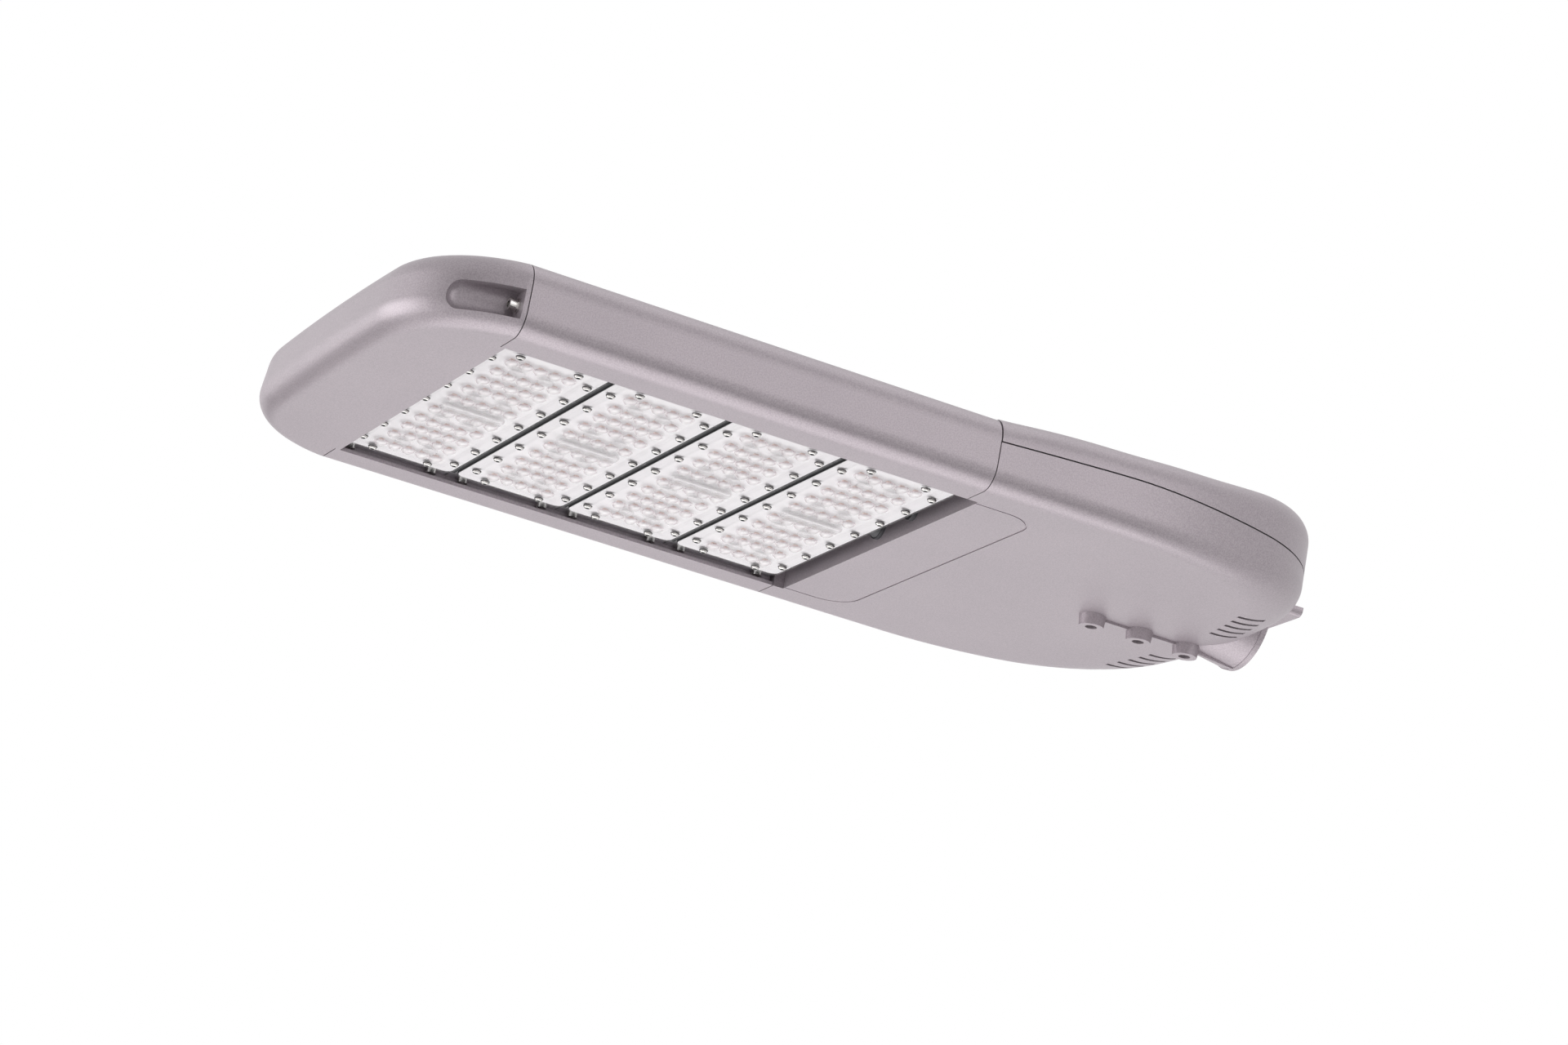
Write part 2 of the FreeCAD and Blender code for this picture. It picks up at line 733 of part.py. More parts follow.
def vent_slots():
    """The slots on each side of the socket, along X over the rounded rear edge."""
    cuts = []
    for i in range(vent_count):
        y = vent_first_y + i * vent_pitch
        end_radius = end_radii(housing_reach, body_half_width, housing_corner_turn, housing_corner)[1]
        fold_radius = end_radius - rear_round_run
        fold_x = housing_round_x - housing_reach + rear_round_run
        start = fold_x + fold_radius - math.sqrt(fold_radius ** 2 - y ** 2) + vent_lead
        slot = box(start - vent_length, start, y - vent_width / 2, y + vent_width / 2,
                   underside_z - 1, underside_z + rear_round_rise / 2)
        cuts += both_sides(slot)
    return cuts


def rear_housing():
    """The die-cast lower housing with its walls, seal rim, pole socket, bosses and hinge lugs."""
    outer = housing_bowl(0.0).fuse(housing_column(0.0, crown_z)).common(below_seam(0.0))
    wing = box(0, wing_length, -wing_half_width, wing_half_width, wing_bottom_z, wing_top_z)
    corners = [e for e in wing.Edges
               if abs(abs(e.CenterOfMass.y) - wing_half_width) < 0.01
               and abs(e.CenterOfMass.z - wing_bottom_z) < 0.01]
    wing = wing.makeFillet((wing_top_z - wing_bottom_z) * 0.8, corners)
    space = housing_bowl(cast_wall, skirt_x).fuse(housing_column(cast_wall, crown_z, skirt_x))
    recess = box(window_rear_x, rail_rear_x + 5, -window_half_width, window_half_width, -tall, tall)
    shell = outer.fuse(wing).cut(space).cut(recess)
    tube, pieces = pole_socket()
    rim = rim_ring(cast_wall - 1, gasket_rim + 1, -cover_gasket_height - 3,
                   -cover_gasket_height, skirt_x + 1)
    joined = [tube] + pieces + [rim]
    for x, y in post_places():
        joined.append(rod(post_radius, post_height + 1, V(x, y, floor_z - 1)))
    for y in (-cover_screw_y, cover_screw_y):
        boss = rod(cover_boss_radius, tall, V(cover_screw_x, y, floor_z - 1))
        joined.append(boss.common(below_seam(0.0)))
    for y in (-hinge_half_spacing, hinge_half_spacing):
        joined += hinge_lug(y)
    shell = shell.multiFuse(joined)
    cuts = [rod(bore_radius, socket_depth + 2, V(-1, 0, 0), X_AXIS)]
    cuts += [set_screw_hole(x) for x in boss_places()] + vent_slots()
    for y in (-cover_screw_y, cover_screw_y):
        hole_z = cover_head_z - cover_screw_length - 2
        cuts.append(rod(cover_screw_radius + 1.0, cover_screw_length, V(cover_screw_x, y, hole_z)))
    for x, y in post_places():
        cuts.append(rod(gear_screw_diameter / 2 + 0.02, 5, V(x, y, floor_z + post_height - 5)))
    cuts += panel_groove() + wall_holes() + hinge_holes()
    return shell.cut(cuts).removeSplitter()


def panel_groove():
    """The shallow groove on the underside that frames the flat panel behind the window."""
    depth = 0.8
    centre = window_rear_x
    length = 2 * panel_length
    outer = rounded_plate(length, 2 * panel_half_width, panel_corner,
                          underside_z - 1, underside_z + depth, centre)
    inner = rounded_plate(length - 2 * groove_width, 2 * (panel_half_width - groove_width),
                          panel_corner - groove_width, underside_z - 1, underside_z + depth, centre)
    return [outer.cut(inner)]


def post_places():
    """Where the posts under the gear plate stand."""
    y = gear_plate_half_width - 20
    return [(gear_plate_x0 + 12, -y), (gear_plate_x0 + 12, y),
            (gear_plate_x1 - 12, -y), (gear_plate_x1 - 12, y)]


def hinge_lug(y):
    """The post in front of the housing's wall that holds one hinge pin."""
    x0 = window_rear_x
    x1 = hinge_x + knuckle_radius - 0.5
    foot = box(x0 - 1, x1, y - lug_width / 2, y + lug_width / 2, -13, seam_course[0][1] - 1)
    post = box(x0 + 0.6, x1, y - lug_width / 2, y + lug_width / 2, seam_course[0][1] - 2, hinge_z)
    head = rod(knuckle_radius, lug_width, V(hinge_x, y - lug_width / 2, hinge_z), Y_AXIS)
    return [foot, post, head]


def hinge_holes():
    """The holes of both hinge pins, through lugs and ears."""
    length = lug_width + 2 * (ear_width + ear_gap) + 2
    return [rod(pin_radius + pin_clearance, length, V(hinge_x, y - length / 2, hinge_z), Y_AXIS)
            for y in (-hinge_half_spacing, hinge_half_spacing)]


def wall_holes():
    """The wire gland's and the breather's holes in the housing's front wall."""
    holes = [rod(gland_radius + 0.1, 12, V(skirt_x - 4, gland_y, gland_z), X_AXIS),
             rod(breather_radius + 0.1, 12, V(skirt_x - 4, breather_y, gland_z), X_AXIS)]
    for side in (-1, 1):
        start = V(skirt_x - 1, side * cap_screw_y, cap_screw_z)
        holes.append(rod(cap_screw_diameter / 2 + 0.3, 20, start, X_AXIS))
    return holes


def cover_body(skin):
    """The closed body of the cover above the seam's level, or with a skin its inner space."""
    front = rail_rear_x - seam_gap if skin == 0 else skirt_x
    column = housing_column(skin, tall, front)
    body = column.common(slab_y(roof_points(skin), -tall))
    radius = shoulder_radius - skin
    edges = []
    for edge in body.Edges:
        bounds = edge.BoundBox
        on_roof = bounds.ZMin > rail_top_z - skin - 1
        if on_roof and bounds.XLength > 1:
            edges.append(edge)
    return body.makeFillet(radius, edges)


def top_cover():
    """The hinged cover: a domed shell with a seal rim, front skirt, ears and screw bosses."""
    outer = cover_body(0.0).cut(below_seam(seam_gap))
    inner = cover_body(cast_wall)
    shell = outer.cut(inner)
    overhang = box(window_rear_x, rail_rear_x + 5, -window_half_width, window_half_width,
                   -20, rail_top_z - cast_wall)
    shell = shell.cut(overhang)
    corner = profile_y([(rail_rear_x - seam_gap - 1.6, rail_top_z + 1),
                        (rail_rear_x, rail_top_z + 1), (rail_rear_x, rail_top_z - 2.4)],
                       -body_half_width, body_half_width)
    rim = rim_ring(cast_wall - 1, gasket_rim + 1, seam_gap, seam_gap + 3, skirt_x + 1)
    ears = []
    for y in (-hinge_half_spacing, hinge_half_spacing):
        for side in (-1, 1):
            ears += hinge_ear(y, side)
    bosses = []
    for y in (-cover_screw_y, cover_screw_y):
        boss = rod(cover_boss_radius, tall, V(cover_screw_x, y, -20))
        bosses.append(boss.common(cover_body(0.5)).cut(below_seam(seam_gap)))
    shell = shell.multiFuse([rim] + ears + bosses).cut(corner)
    for y in (-hinge_half_spacing, hinge_half_spacing):
        half = lug_width / 2 + ear_gap
        shell = shell.cut(box(window_rear_x + 0.1, rail_rear_x + 2, y - half, y + half, -20, tall))
    cuts = hinge_holes()
    for y in (-cover_screw_y, cover_screw_y):
        cuts.append(rod(cover_screw_radius + 0.3, tall, V(cover_screw_x, y, -20)))
        cuts.append(rod(cover_head_radius + 0.4, tall, V(cover_screw_x, y, cover_head_z)))
    cuts.append(socket_clearance(seam_gap))
    return shell.cut(cuts).removeSplitter()


def hinge_ear(y, side):
    """One of the cover's ears beside a hinge lug."""
    near = y + side * (lug_width / 2 + ear_gap)
    y0 = min(near, near + side * ear_width)
    head = rod(knuckle_radius, ear_width, V(hinge_x, y0, hinge_z), Y_AXIS)
    root = box(skirt_x + 1, hinge_x, y0, y0 + ear_width, hinge_z - knuckle_radius,
               rail_top_z - 0.5)
    return [head, root]


def hinge_pins():
    """The two steel pins that the cover turns on."""
    length = lug_width + 2 * (ear_width + ear_gap)
    return Part.makeCompound([rod(pin_radius, length, V(hinge_x, y - length / 2, hinge_z), Y_AXIS)
                              for y in (-hinge_half_spacing, hinge_half_spacing)])


def cover_screws():
    """The two captive screws that hold the cover down at the back."""
    screws = []
    for y in (-cover_screw_y, cover_screw_y):
        head = rod(cover_head_radius, cover_head_height, V(cover_screw_x, y, cover_head_z))
        low_z = cover_head_z - cover_screw_length
        shank = rod(cover_screw_radius, cover_screw_length, V(cover_screw_x, y, low_z))
        socket = rod(2.5, 3, V(cover_screw_x, y, cover_head_z + cover_head_height - 3))
        screws.append(head.fuse(shank).cut(socket))
    return Part.makeCompound(screws)


def cover_gasket():
    """The seal on the housing's rim, open where the pole socket's tube crosses it."""
    ring = rim_ring(cast_wall + running_gap, gasket_rim - 1.3, -cover_gasket_height,
                    seam_gap - running_gap, skirt_x - running_gap)
    lip = rim_ring(gasket_lip_inset, cast_wall + 2 * running_gap - gasket_lip_inset, 0.02,
                   gasket_lip_height, skirt_x - running_gap)
    ring = ring.fuse(lip).cut(socket_clearance(running_gap))
    for y in (-cover_screw_y, cover_screw_y):
        ring = ring.cut(rod(cover_boss_radius + running_gap, tall, V(cover_screw_x, y, -40)))
    return ring


def rail_end_screws():
    """The screws inside the housing that pull it against the rails' rear ends."""
    length = rail_rear_x - skirt_x + cap_screw_length - 8
    start = V(skirt_x, cap_screw_y, cap_screw_z)
    shank = rod(cap_screw_diameter / 2, length, start, X_AXIS)
    head = rod(cap_head_diameter / 2, cap_head_height, start - V(cap_head_height, 0, 0), X_AXIS)
    socket = rod(2.6, 3.2, start - V(cap_head_height, 0, 0), X_AXIS)
    return Part.makeCompound(both_sides(head.fuse(shank).cut(socket)))


def set_screws():
    """The set screws that clamp the pole, just clear of the bore."""
    screws = []
    for x in boss_places():
        low_z = underside_z - boss_drop + set_screw_recess
        length = -bore_radius - 0.8 - low_z
        screw = rod(set_screw_diameter / 2, length, V(x, 0, low_z))
        screws.append(screw.cut(rod(2.1, 4, V(x, 0, low_z))))
    return Part.makeCompound(screws)


def gear_plate():
    """The steel plate that carries the gear, on the housing's posts."""
    z0 = floor_z + post_height
    plate = box(gear_plate_x0, gear_plate_x1, -gear_plate_half_width, gear_plate_half_width,
                z0, z0 + gear_plate_thickness)
    for x, y in post_places() + driver_screw_places():
        plate = plate.cut(rod(gear_screw_diameter / 2 + 0.2, 10, V(x, y, z0 - 4)))
    return plate


def driver_screw_places():
    """Where the screws through the driver's feet stand."""
    return [(driver_x, side * (driver_length + driver_foot) / 2) for side in (-1, 1)]


def gear_screws():
    """The screws that hold the gear plate to its posts and the driver to the plate."""
    screws = []
    top = gear_deck_z
    for x, y in post_places():
        head = rod(gear_screw_diameter, 2.6, V(x, y, top))
        shank = rod(gear_screw_diameter / 2, 6, V(x, y, top - 6))
        screws.append(head.fuse(shank))
    for x, y in driver_screw_places():
        place = V(x, y, top + driver_foot_height)
        head = rod(gear_screw_diameter, 2.6, place)
        shank = rod(gear_screw_diameter / 2, driver_foot_height + 1.5,
                    place - V(0, 0, driver_foot_height + 1.5))
        screws.append(head.fuse(shank))
    return Part.makeCompound(screws)


def led_driver():
    """The sealed driver: a tray with end feet and a rounded lid edge."""
    half_x = driver_width / 2
    half_y = driver_length / 2
    case = box(driver_x - half_x, driver_x + half_x, -half_y, half_y,
               gear_deck_z, gear_deck_z + driver_height)
    long_edges = [e for e in case.Edges if abs(e.tangentAt(e.FirstParameter).y) > 0.99
                  and e.CenterOfMass.z > gear_deck_z + driver_height - 1]
    case = case.makeFillet(4, long_edges)
    foot = box(driver_x - half_x + 8, driver_x + half_x - 8, -half_y - driver_foot,
               half_y + driver_foot, gear_deck_z, gear_deck_z + driver_foot_height)
    case = case.fuse(foot).removeSplitter()
    for x, y in driver_screw_places():
        case = case.cut(rod(gear_screw_diameter / 2 + 0.2, driver_foot_height + 2,
                            V(x, y, gear_deck_z - 1)))
    return case


def terminal_block():
    """The mains terminal block with one entry on each side for each way."""
    width = terminal_ways * 14.0 + 6
    base = box(terminal_x - 14, terminal_x + 14, terminal_y - width / 2, terminal_y + width / 2,
               gear_deck_z, gear_deck_z + 20)
    for i in range(terminal_ways):
        y = terminal_y + (i - (terminal_ways - 1) / 2) * 14
        base = base.cut(box(terminal_x - 15, terminal_x - 6, y - 4, y + 4,
                            gear_deck_z + 4, gear_deck_z + 13))
        base = base.cut(box(terminal_x + 6, terminal_x + 15, y - 4, y + 4,
                            gear_deck_z + 4, gear_deck_z + 13))
        base = base.cut(rod(2.6, 6, V(terminal_x, y, gear_deck_z + 15)))
    return base


def surge_protector():
    """The potted surge protector beside the terminal block."""
    body = box(terminal_x - 20, terminal_x + 20, surge_y - 28, surge_y + 28,
               gear_deck_z, gear_deck_z + 26)
    upright = [e for e in body.Edges if abs(e.tangentAt(e.FirstParameter).z) > 0.99]
    return body.makeFillet(4, upright)


def cable_clamp():
    """The saddle that holds the mains cable where it leaves the socket."""
    start = gear_plate_x0 + clamp_inset
    saddle = box(start, start + clamp_length, -17, 17, gear_deck_z, gear_deck_z + 14)
    return saddle.cut(rod(6, clamp_length + 4, V(start - 2, 0, gear_deck_z + 7), X_AXIS))


def wall_gland():
    """The cable gland through the housing's front wall, with its lock nut inside."""
    thread = rod(gland_radius, cast_wall + 6, V(skirt_x - 6, gland_y, gland_z), X_AXIS)
    flange = rod(gland_radius + 2.0, 3, V(window_rear_x, gland_y, gland_z), X_AXIS)
    dome = cone(gland_radius + 1.0, gland_radius - 2, 6, V(window_rear_x + 3, gland_y, gland_z), X_AXIS)
    nut = rod(gland_radius + 3, 4, V(skirt_x - 4, gland_y, gland_z), X_AXIS)
    gland = fuse_all(thread, [flange, dome, nut])
    return gland.cut(rod(gland_radius - 4, 40, V(skirt_x - 10, gland_y, gland_z), X_AXIS))


def breather():
    """The vent plug beside the gland."""
    stem = rod(breather_radius, cast_wall + 4, V(skirt_x - 4, breather_y, gland_z), X_AXIS)
    cap = rod(breather_radius + 3, 4, V(window_rear_x, breather_y, gland_z), X_AXIS)
    return stem.fuse(cap).removeSplitter()


def module_parts():
    """The pieces of every lens module, named from the nose back."""
    pieces = {}
    makers = {"heat_sink": heat_sink, "wire_gland": wire_gland, "led_board": led_board,
              "led_chips": led_chips, "lens_gasket": lens_gasket, "lens_plate": lens_plate}
    for kind, maker in makers.items():
        first = maker()
        for i, x in enumerate(reversed(module_centres())):
            piece = first.copy()
            piece.translate(V(x, 0, 0))
            pieces[f"{kind}_{i + 1}"] = piece
    return pieces


def all_parts():
    """Every sub-part by its node's name."""
    rail = side_rail()
    parts = {
        "nose_cap": nose_cap(),
        "side_rail_left": rail,
        "side_rail_right": mirrored(rail),
        "nose_cap_screws": nose_cap_screws(),
        "nose_cap_washers": nose_cap_washers(),
        "module_screws": module_screws(),
        "rear_housing": rear_housing(),
        "rail_end_screws": rail_end_screws(),
        "socket_set_screws": set_screws(),
        "cover_gasket": cover_gasket(),
        "top_cover": top_cover(),
        "cover_screws": cover_screws(),
        "hinge_pins": hinge_pins(),
        "gear_plate": gear_plate(),
        "gear_screws": gear_screws(),
        "led_driver": led_driver(),
        "terminal_block": terminal_block(),
        "surge_protector": surge_protector(),
        "cable_clamp": cable_clamp(),
        "wall_gland": wall_gland(),
        "breather_plug": breather(),
    }
    parts.update(module_parts())
    return parts


def main():
    """Writes one STEP file for each sub-part."""
    os.makedirs("parts", exist_ok=True)
    for name, shape in all_parts().items():
        shape.exportStep(f"parts/{name}.step")


main()
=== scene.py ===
"""Looks of the street light head: finishes, lens modules, painted gap shade, seals, studio and
camera.
"""

import logging
import math
from dataclasses import dataclass, field
from enum import Enum
from typing import Callable, Iterable

import bmesh
import bpy
from mathutils import Matrix, Vector


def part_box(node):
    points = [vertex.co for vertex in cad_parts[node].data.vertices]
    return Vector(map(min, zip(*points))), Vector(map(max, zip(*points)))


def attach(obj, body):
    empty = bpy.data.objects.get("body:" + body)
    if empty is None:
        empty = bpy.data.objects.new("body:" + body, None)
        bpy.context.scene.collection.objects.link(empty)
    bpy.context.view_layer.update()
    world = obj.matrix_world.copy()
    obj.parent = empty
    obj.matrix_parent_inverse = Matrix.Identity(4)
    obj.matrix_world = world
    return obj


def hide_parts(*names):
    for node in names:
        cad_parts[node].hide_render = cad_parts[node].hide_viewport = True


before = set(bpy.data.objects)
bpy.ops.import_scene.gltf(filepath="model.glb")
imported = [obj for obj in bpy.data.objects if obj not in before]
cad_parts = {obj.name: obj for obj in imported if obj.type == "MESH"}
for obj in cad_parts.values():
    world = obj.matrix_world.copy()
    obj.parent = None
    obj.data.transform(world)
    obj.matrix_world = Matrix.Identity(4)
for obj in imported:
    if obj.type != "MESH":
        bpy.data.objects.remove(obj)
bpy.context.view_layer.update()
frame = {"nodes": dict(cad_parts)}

log = logging.getLogger("street_light_head")

MM = 0.001
MODULES = (1, 2, 3, 4)
WHITE = (1.0, 1.0, 1.0)
SAME_PLACE = 1e-6  # metres: two heights nearer than this are one height
UPRIGHT = 1e-5  # metres: an edge whose ends differ more than this in height stands upright
LEVEL = 0.99  # the least Z share of the normal of a face that looks straight up or down


class Side(Enum):
    """The two long sides of the light head."""

    LEFT = 1
    RIGHT = -1


class Grain(Enum):
    """How coarse a finish's surface grain is, as a noise scale in Object coordinates."""

    POWDER = 950.0
    CAST = 520.0
    BRUSH = 240.0
    MOULD = 1500.0


# Operators and meshes.


def deselect() -> None:
    """Leaves edit mode and deselects everything."""
    if bpy.context.object and bpy.context.object.mode != "OBJECT":
        bpy.ops.object.mode_set(mode="OBJECT")
    bpy.ops.object.select_all(action="DESELECT")


def activate(piece: bpy.types.Object) -> None:
    """Makes a piece the only selected and the active one.

    Args:
        piece: The object to work on.
    """
    deselect()
    piece.select_set(True)
    bpy.context.view_layer.objects.active = piece


def looks_down(normal: Vector) -> bool:
    """Says whether a face looks straight down.

    Args:
        normal: The face's normal.

    Returns:
        Whether it does.
    """
    return normal.z < -LEVEL


def is_level(normal: Vector) -> bool:
    """Says whether a face looks straight up or down.

    Args:
        normal: The face's normal.

    Returns:
        Whether it does.
    """
    return abs(normal.z) > LEVEL


def is_upright(first: Vector, second: Vector) -> bool:
    """Says whether an edge stands upright.

    Args:
        first: The edge's one end.
        second: Its other end.

    Returns:
        Whether it does.
    """
    return abs(first.z - second.z) > UPRIGHT


def at_height(height: float) -> Callable[[Vector, Vector], bool]:
    """Makes the test for an edge that lies at one height.

    Args:
        height: The height.

    Returns:
        The test, which takes the edge's two ends.
    """
    return lambda first, second: max(abs(first.z - height), abs(second.z - height)) < SAME_PLACE


def pick_faces(piece: bpy.types.Object, wanted: Callable[[Vector], bool]) -> None:
    """Selects a piece's faces by their normal, and enters edit mode.

    Args:
        piece: The object whose faces are picked.
        wanted: Says for a face's normal whether the face is picked.
    """
    activate(piece)
    bpy.ops.object.mode_set(mode="EDIT")
    bpy.ops.mesh.select_mode(type="FACE")
    bpy.ops.mesh.select_all(action="DESELECT")
    shape = bmesh.from_edit_mesh(piece.data)
    for face in shape.faces:
        if wanted(face.normal):
            face.select_set(True)
    bmesh.update_edit_mesh(piece.data)


def pick_edges(piece: bpy.types.Object, wanted: Callable[[Vector, Vector], bool]) -> None:
    """Selects a piece's edges by their two ends, and enters edit mode.

    Args:
        piece: The object whose edges are picked.
        wanted: Says for an edge's two ends whether it is picked.
    """
    activate(piece)
    bpy.ops.object.mode_set(mode="EDIT")
    bpy.ops.mesh.select_mode(type="EDGE")
    bpy.ops.mesh.select_all(action="DESELECT")
    shape = bmesh.from_edit_mesh(piece.data)
    for edge in shape.edges:
        if wanted(edge.verts[0].co, edge.verts[1].co):
            edge.select_set(True)
    bmesh.update_edit_mesh(piece.data)


def leave_edit() -> None:
    """Goes back to object mode."""
    bpy.ops.object.mode_set(mode="OBJECT")


def settle(piece: bpy.types.Object) -> None:
    """Applies a piece's place, turn and scale, so that its object sits at the origin.

    Args:
        piece: The object to settle.
    """
    activate(piece)
    bpy.ops.object.transform_apply(location=True, rotation=True, scale=True)


def smooth(piece: bpy.types.Object, angle: float = 35.0) -> None:
    """Shades a piece smooth except over its sharp edges.

    Args:
        piece: The object to shade.
        angle: The sharpest edge in degrees that still looks smooth.
    """
    activate(piece)
    bpy.ops.object.shade_smooth_by_angle(angle=math.radians(angle))


def join(pieces: list[bpy.types.Object], name: str) -> bpy.types.Object:
    """Joins several objects into one named piece.

    Args:
        pieces: The objects, the first of which takes in the others.
        name: The joined piece's name.

    Returns:
        The joined piece.
    """
    activate(pieces[0])
    for piece in pieces[1:]:
        piece.select_set(True)
    if len(pieces) > 1:
        bpy.ops.object.join()
    joined = bpy.context.view_layer.objects.active
    joined.name = name
    joined.data.name = name
    return joined


def copy_to(pattern: bpy.types.Object, place: Vector, turn: float = 0.0) -> bpy.types.Object:
    """Copies a piece with its own mesh and moves the copy's mesh to a place.

    Args:
        pattern: The piece to copy.
        place: Where the copy's origin goes.
        turn: How far it turns about its own upright, in radians.

    Returns:
        The copy.
    """
    piece = pattern.copy()
    piece.data = pattern.data.copy()
    piece.data.transform(Matrix.Translation(place) @ Matrix.Rotation(turn, 4, "Z"))
    bpy.context.scene.collection.objects.link(piece)
    return piece


def disc_under(top: float, radius: float, height: float, sides: int = 16) -> bpy.types.Object:
    """Adds an upright cylinder on the origin's axis, under a height.

    Args:
        top: Where its upper face is.
        radius: Its radius.
        height: Its height.
        sides: How many sides it has.

    Returns:
        The cylinder.
    """
    deselect()
    bpy.ops.mesh.primitive_cylinder_add(vertices=sides, radius=radius, depth=height,
                                        location=(0.0, 0.0, top - height / 2))
    disc = bpy.context.object
    settle(disc)
    return disc


def drop(piece: bpy.types.Object) -> None:
    """Deletes a pattern piece that was only copied from."""
    bpy.data.objects.remove(piece)


# Finishes.


class Shader:
    """One node material under construction."""

    def __init__(self, name: str) -> None:
        """Starts an empty material with a principled shader.

        Args:
            name: The material's name.
        """
        self.material = bpy.data.materials.new(name)
        self.material.use_nodes = True
        self.nodes = self.material.node_tree.nodes
        self.links = self.material.node_tree.links
        self.surface = self.nodes["Principled BSDF"]
        self.coordinates = self.nodes.new("ShaderNodeTexCoord")

    def set(self, **values: object) -> None:
        """Sets the principled shader's own sockets, named with underscores for spaces."""
        for key, value in values.items():
            self.surface.inputs[key.replace("_", " ")].default_value = value

    def noise(self, scale: float, detail: float = 3.0,
              stretch: Vector | None = None) -> bpy.types.Node:
        """Adds a noise texture on Object coordinates.

        Args:
            scale: The noise's scale.
            detail: The noise's detail.
            stretch: How the pattern is scaled along X, Y and Z, if it isn't even.

        Returns:
            The noise node.
        """
        texture = self.nodes.new("ShaderNodeTexNoise")
        texture.inputs["Scale"].default_value = scale
        texture.inputs["Detail"].default_value = detail
        if stretch is None:
            self.links.new(self.coordinates.outputs["Object"], texture.inputs["Vector"])
        else:
            mapping = self.nodes.new("ShaderNodeMapping")
            mapping.inputs["Scale"].default_value = stretch
            self.links.new(self.coordinates.outputs["Object"], mapping.inputs["Vector"])
            self.links.new(mapping.outputs["Vector"], texture.inputs["Vector"])
        return texture

    def height(self, low: float, high: float) -> bpy.types.NodeSocket:
        """Turns the place along Z into a value from 0 to 1.

        Args:
            low: The height that gives 0.
            high: The height that gives 1.

        Returns:
            The value's socket.
        """
        place = self.nodes.new("ShaderNodeSeparateXYZ")
        self.links.new(self.coordinates.outputs["Object"], place.inputs["Vector"])
        span = self.nodes.new("ShaderNodeMapRange")
        span.inputs["From Min"].default_value = low
        span.inputs["From Max"].default_value = high
        self.links.new(place.outputs["Z"], span.inputs["Value"])
        return span.outputs["Result"]

    def ramp(self, source: bpy.types.NodeSocket,
             stops: Iterable[tuple[float, tuple]]) -> bpy.types.Node:
        """Adds a colour ramp after a value.

        Args:
            source: The value that drives the ramp.
            stops: Each stop's place and colour.

        Returns:
            The ramp node.
        """
        ramp = self.nodes.new("ShaderNodeValToRGB")
        elements = ramp.color_ramp.elements
        stops = list(stops)
        while len(elements) < len(stops):
            elements.new(0.5)
        for element, (place, colour) in zip(elements, stops):
            element.position = place
            element.color = (*colour, 1.0)
        self.links.new(source, ramp.inputs["Fac"])
        return ramp

    def multiply(self, first: bpy.types.NodeSocket, second: bpy.types.NodeSocket,
                 share: float) -> bpy.types.NodeSocket:
        """Darkens one colour by another.

        Args:
            first: The colour to darken.
            second: The colour that darkens it.
            share: How strongly it does.

        Returns:
            The product's socket.
        """
        node = self.nodes.new("ShaderNodeMix")
        node.data_type = "RGBA"
        node.blend_type = "MULTIPLY"
        node.inputs[0].default_value = share
        self.links.new(first, node.inputs[6])
        self.links.new(second, node.inputs[7])
        return node.outputs[2]

    def drive(self, socket: str, source: bpy.types.NodeSocket, low: float, high: float) -> None:
        """Drives one of the surface's sockets between two values.

        Args:
            socket: The socket's name.
            source: The value that drives it, from 0 to 1.
            low: What the socket gets at 0.
            high: What it gets at 1.
        """
        node = self.nodes.new("ShaderNodeMapRange")
        node.inputs["To Min"].default_value = low
        node.inputs["To Max"].default_value = high
        self.links.new(source, node.inputs["Value"])
        self.links.new(node.outputs["Result"], self.surface.inputs[socket])

    def bump(self, source: bpy.types.NodeSocket, strength: float, depth: float,
             under: bpy.types.Node | None = None) -> bpy.types.Node:
        """Adds a bump to the surface.

        Args:
            source: The height's socket.
            strength: The bump's strength.
            depth: The bump's distance in metres.
            under: A bump that this one lies on, if any.

        Returns:
            The bump node.
        """
        node = self.nodes.new("ShaderNodeBump")
        node.inputs["Strength"].default_value = strength
        node.inputs["Distance"].default_value = depth
        self.links.new(source, node.inputs["Height"])
        if under is not None:
            self.links.new(under.outputs["Normal"], node.inputs["Normal"])
        self.links.new(node.outputs["Normal"], self.surface.inputs["Normal"])
        return node


@dataclass(frozen=True)
class PowderCoat:
    """Silver-grey powder coat with a fine metallic grain and a soft orange peel."""

    name: str = "powder_coat"
    light: tuple[float, float, float] = (0.475, 0.42, 0.452)
    dark: tuple[float, float, float] = (0.375, 0.328, 0.357)
    roughness: tuple[float, float] = (0.34, 0.5)
    grain: Grain = Grain.POWDER
    peel_scale: float = 260.0
    cloud_scale: float = 9.0
    cloud_tint: tuple[float, float, float] = (0.94, 0.94, 0.945)

    def make(self) -> bpy.types.Material:
        """Builds the material.

        Returns:
            The material.
        """
        shader = Shader(self.name)
        shader.set(Metallic=0.38, Specular_IOR_Level=0.4)
        flakes = shader.noise(self.grain.value, 2.0)
        speckle = shader.ramp(flakes.outputs["Fac"], [(0.36, self.dark), (0.64, self.light)])
        clouds = shader.noise(self.cloud_scale, 3.0)
        drift = shader.ramp(clouds.outputs["Fac"], [(0.3, self.cloud_tint), (0.7, WHITE)])
        colour = shader.multiply(speckle.outputs["Color"], drift.outputs["Color"], 1.0)
        shader.links.new(colour, shader.surface.inputs["Base Color"])
        shader.drive("Roughness", flakes.outputs["Fac"], *self.roughness)
        peel = shader.noise(self.peel_scale, 2.0)
        low = shader.bump(peel.outputs["Fac"], 0.16, 0.0004)
        shader.bump(flakes.outputs["Fac"], 0.3, 0.00022, low)
        return shader.material


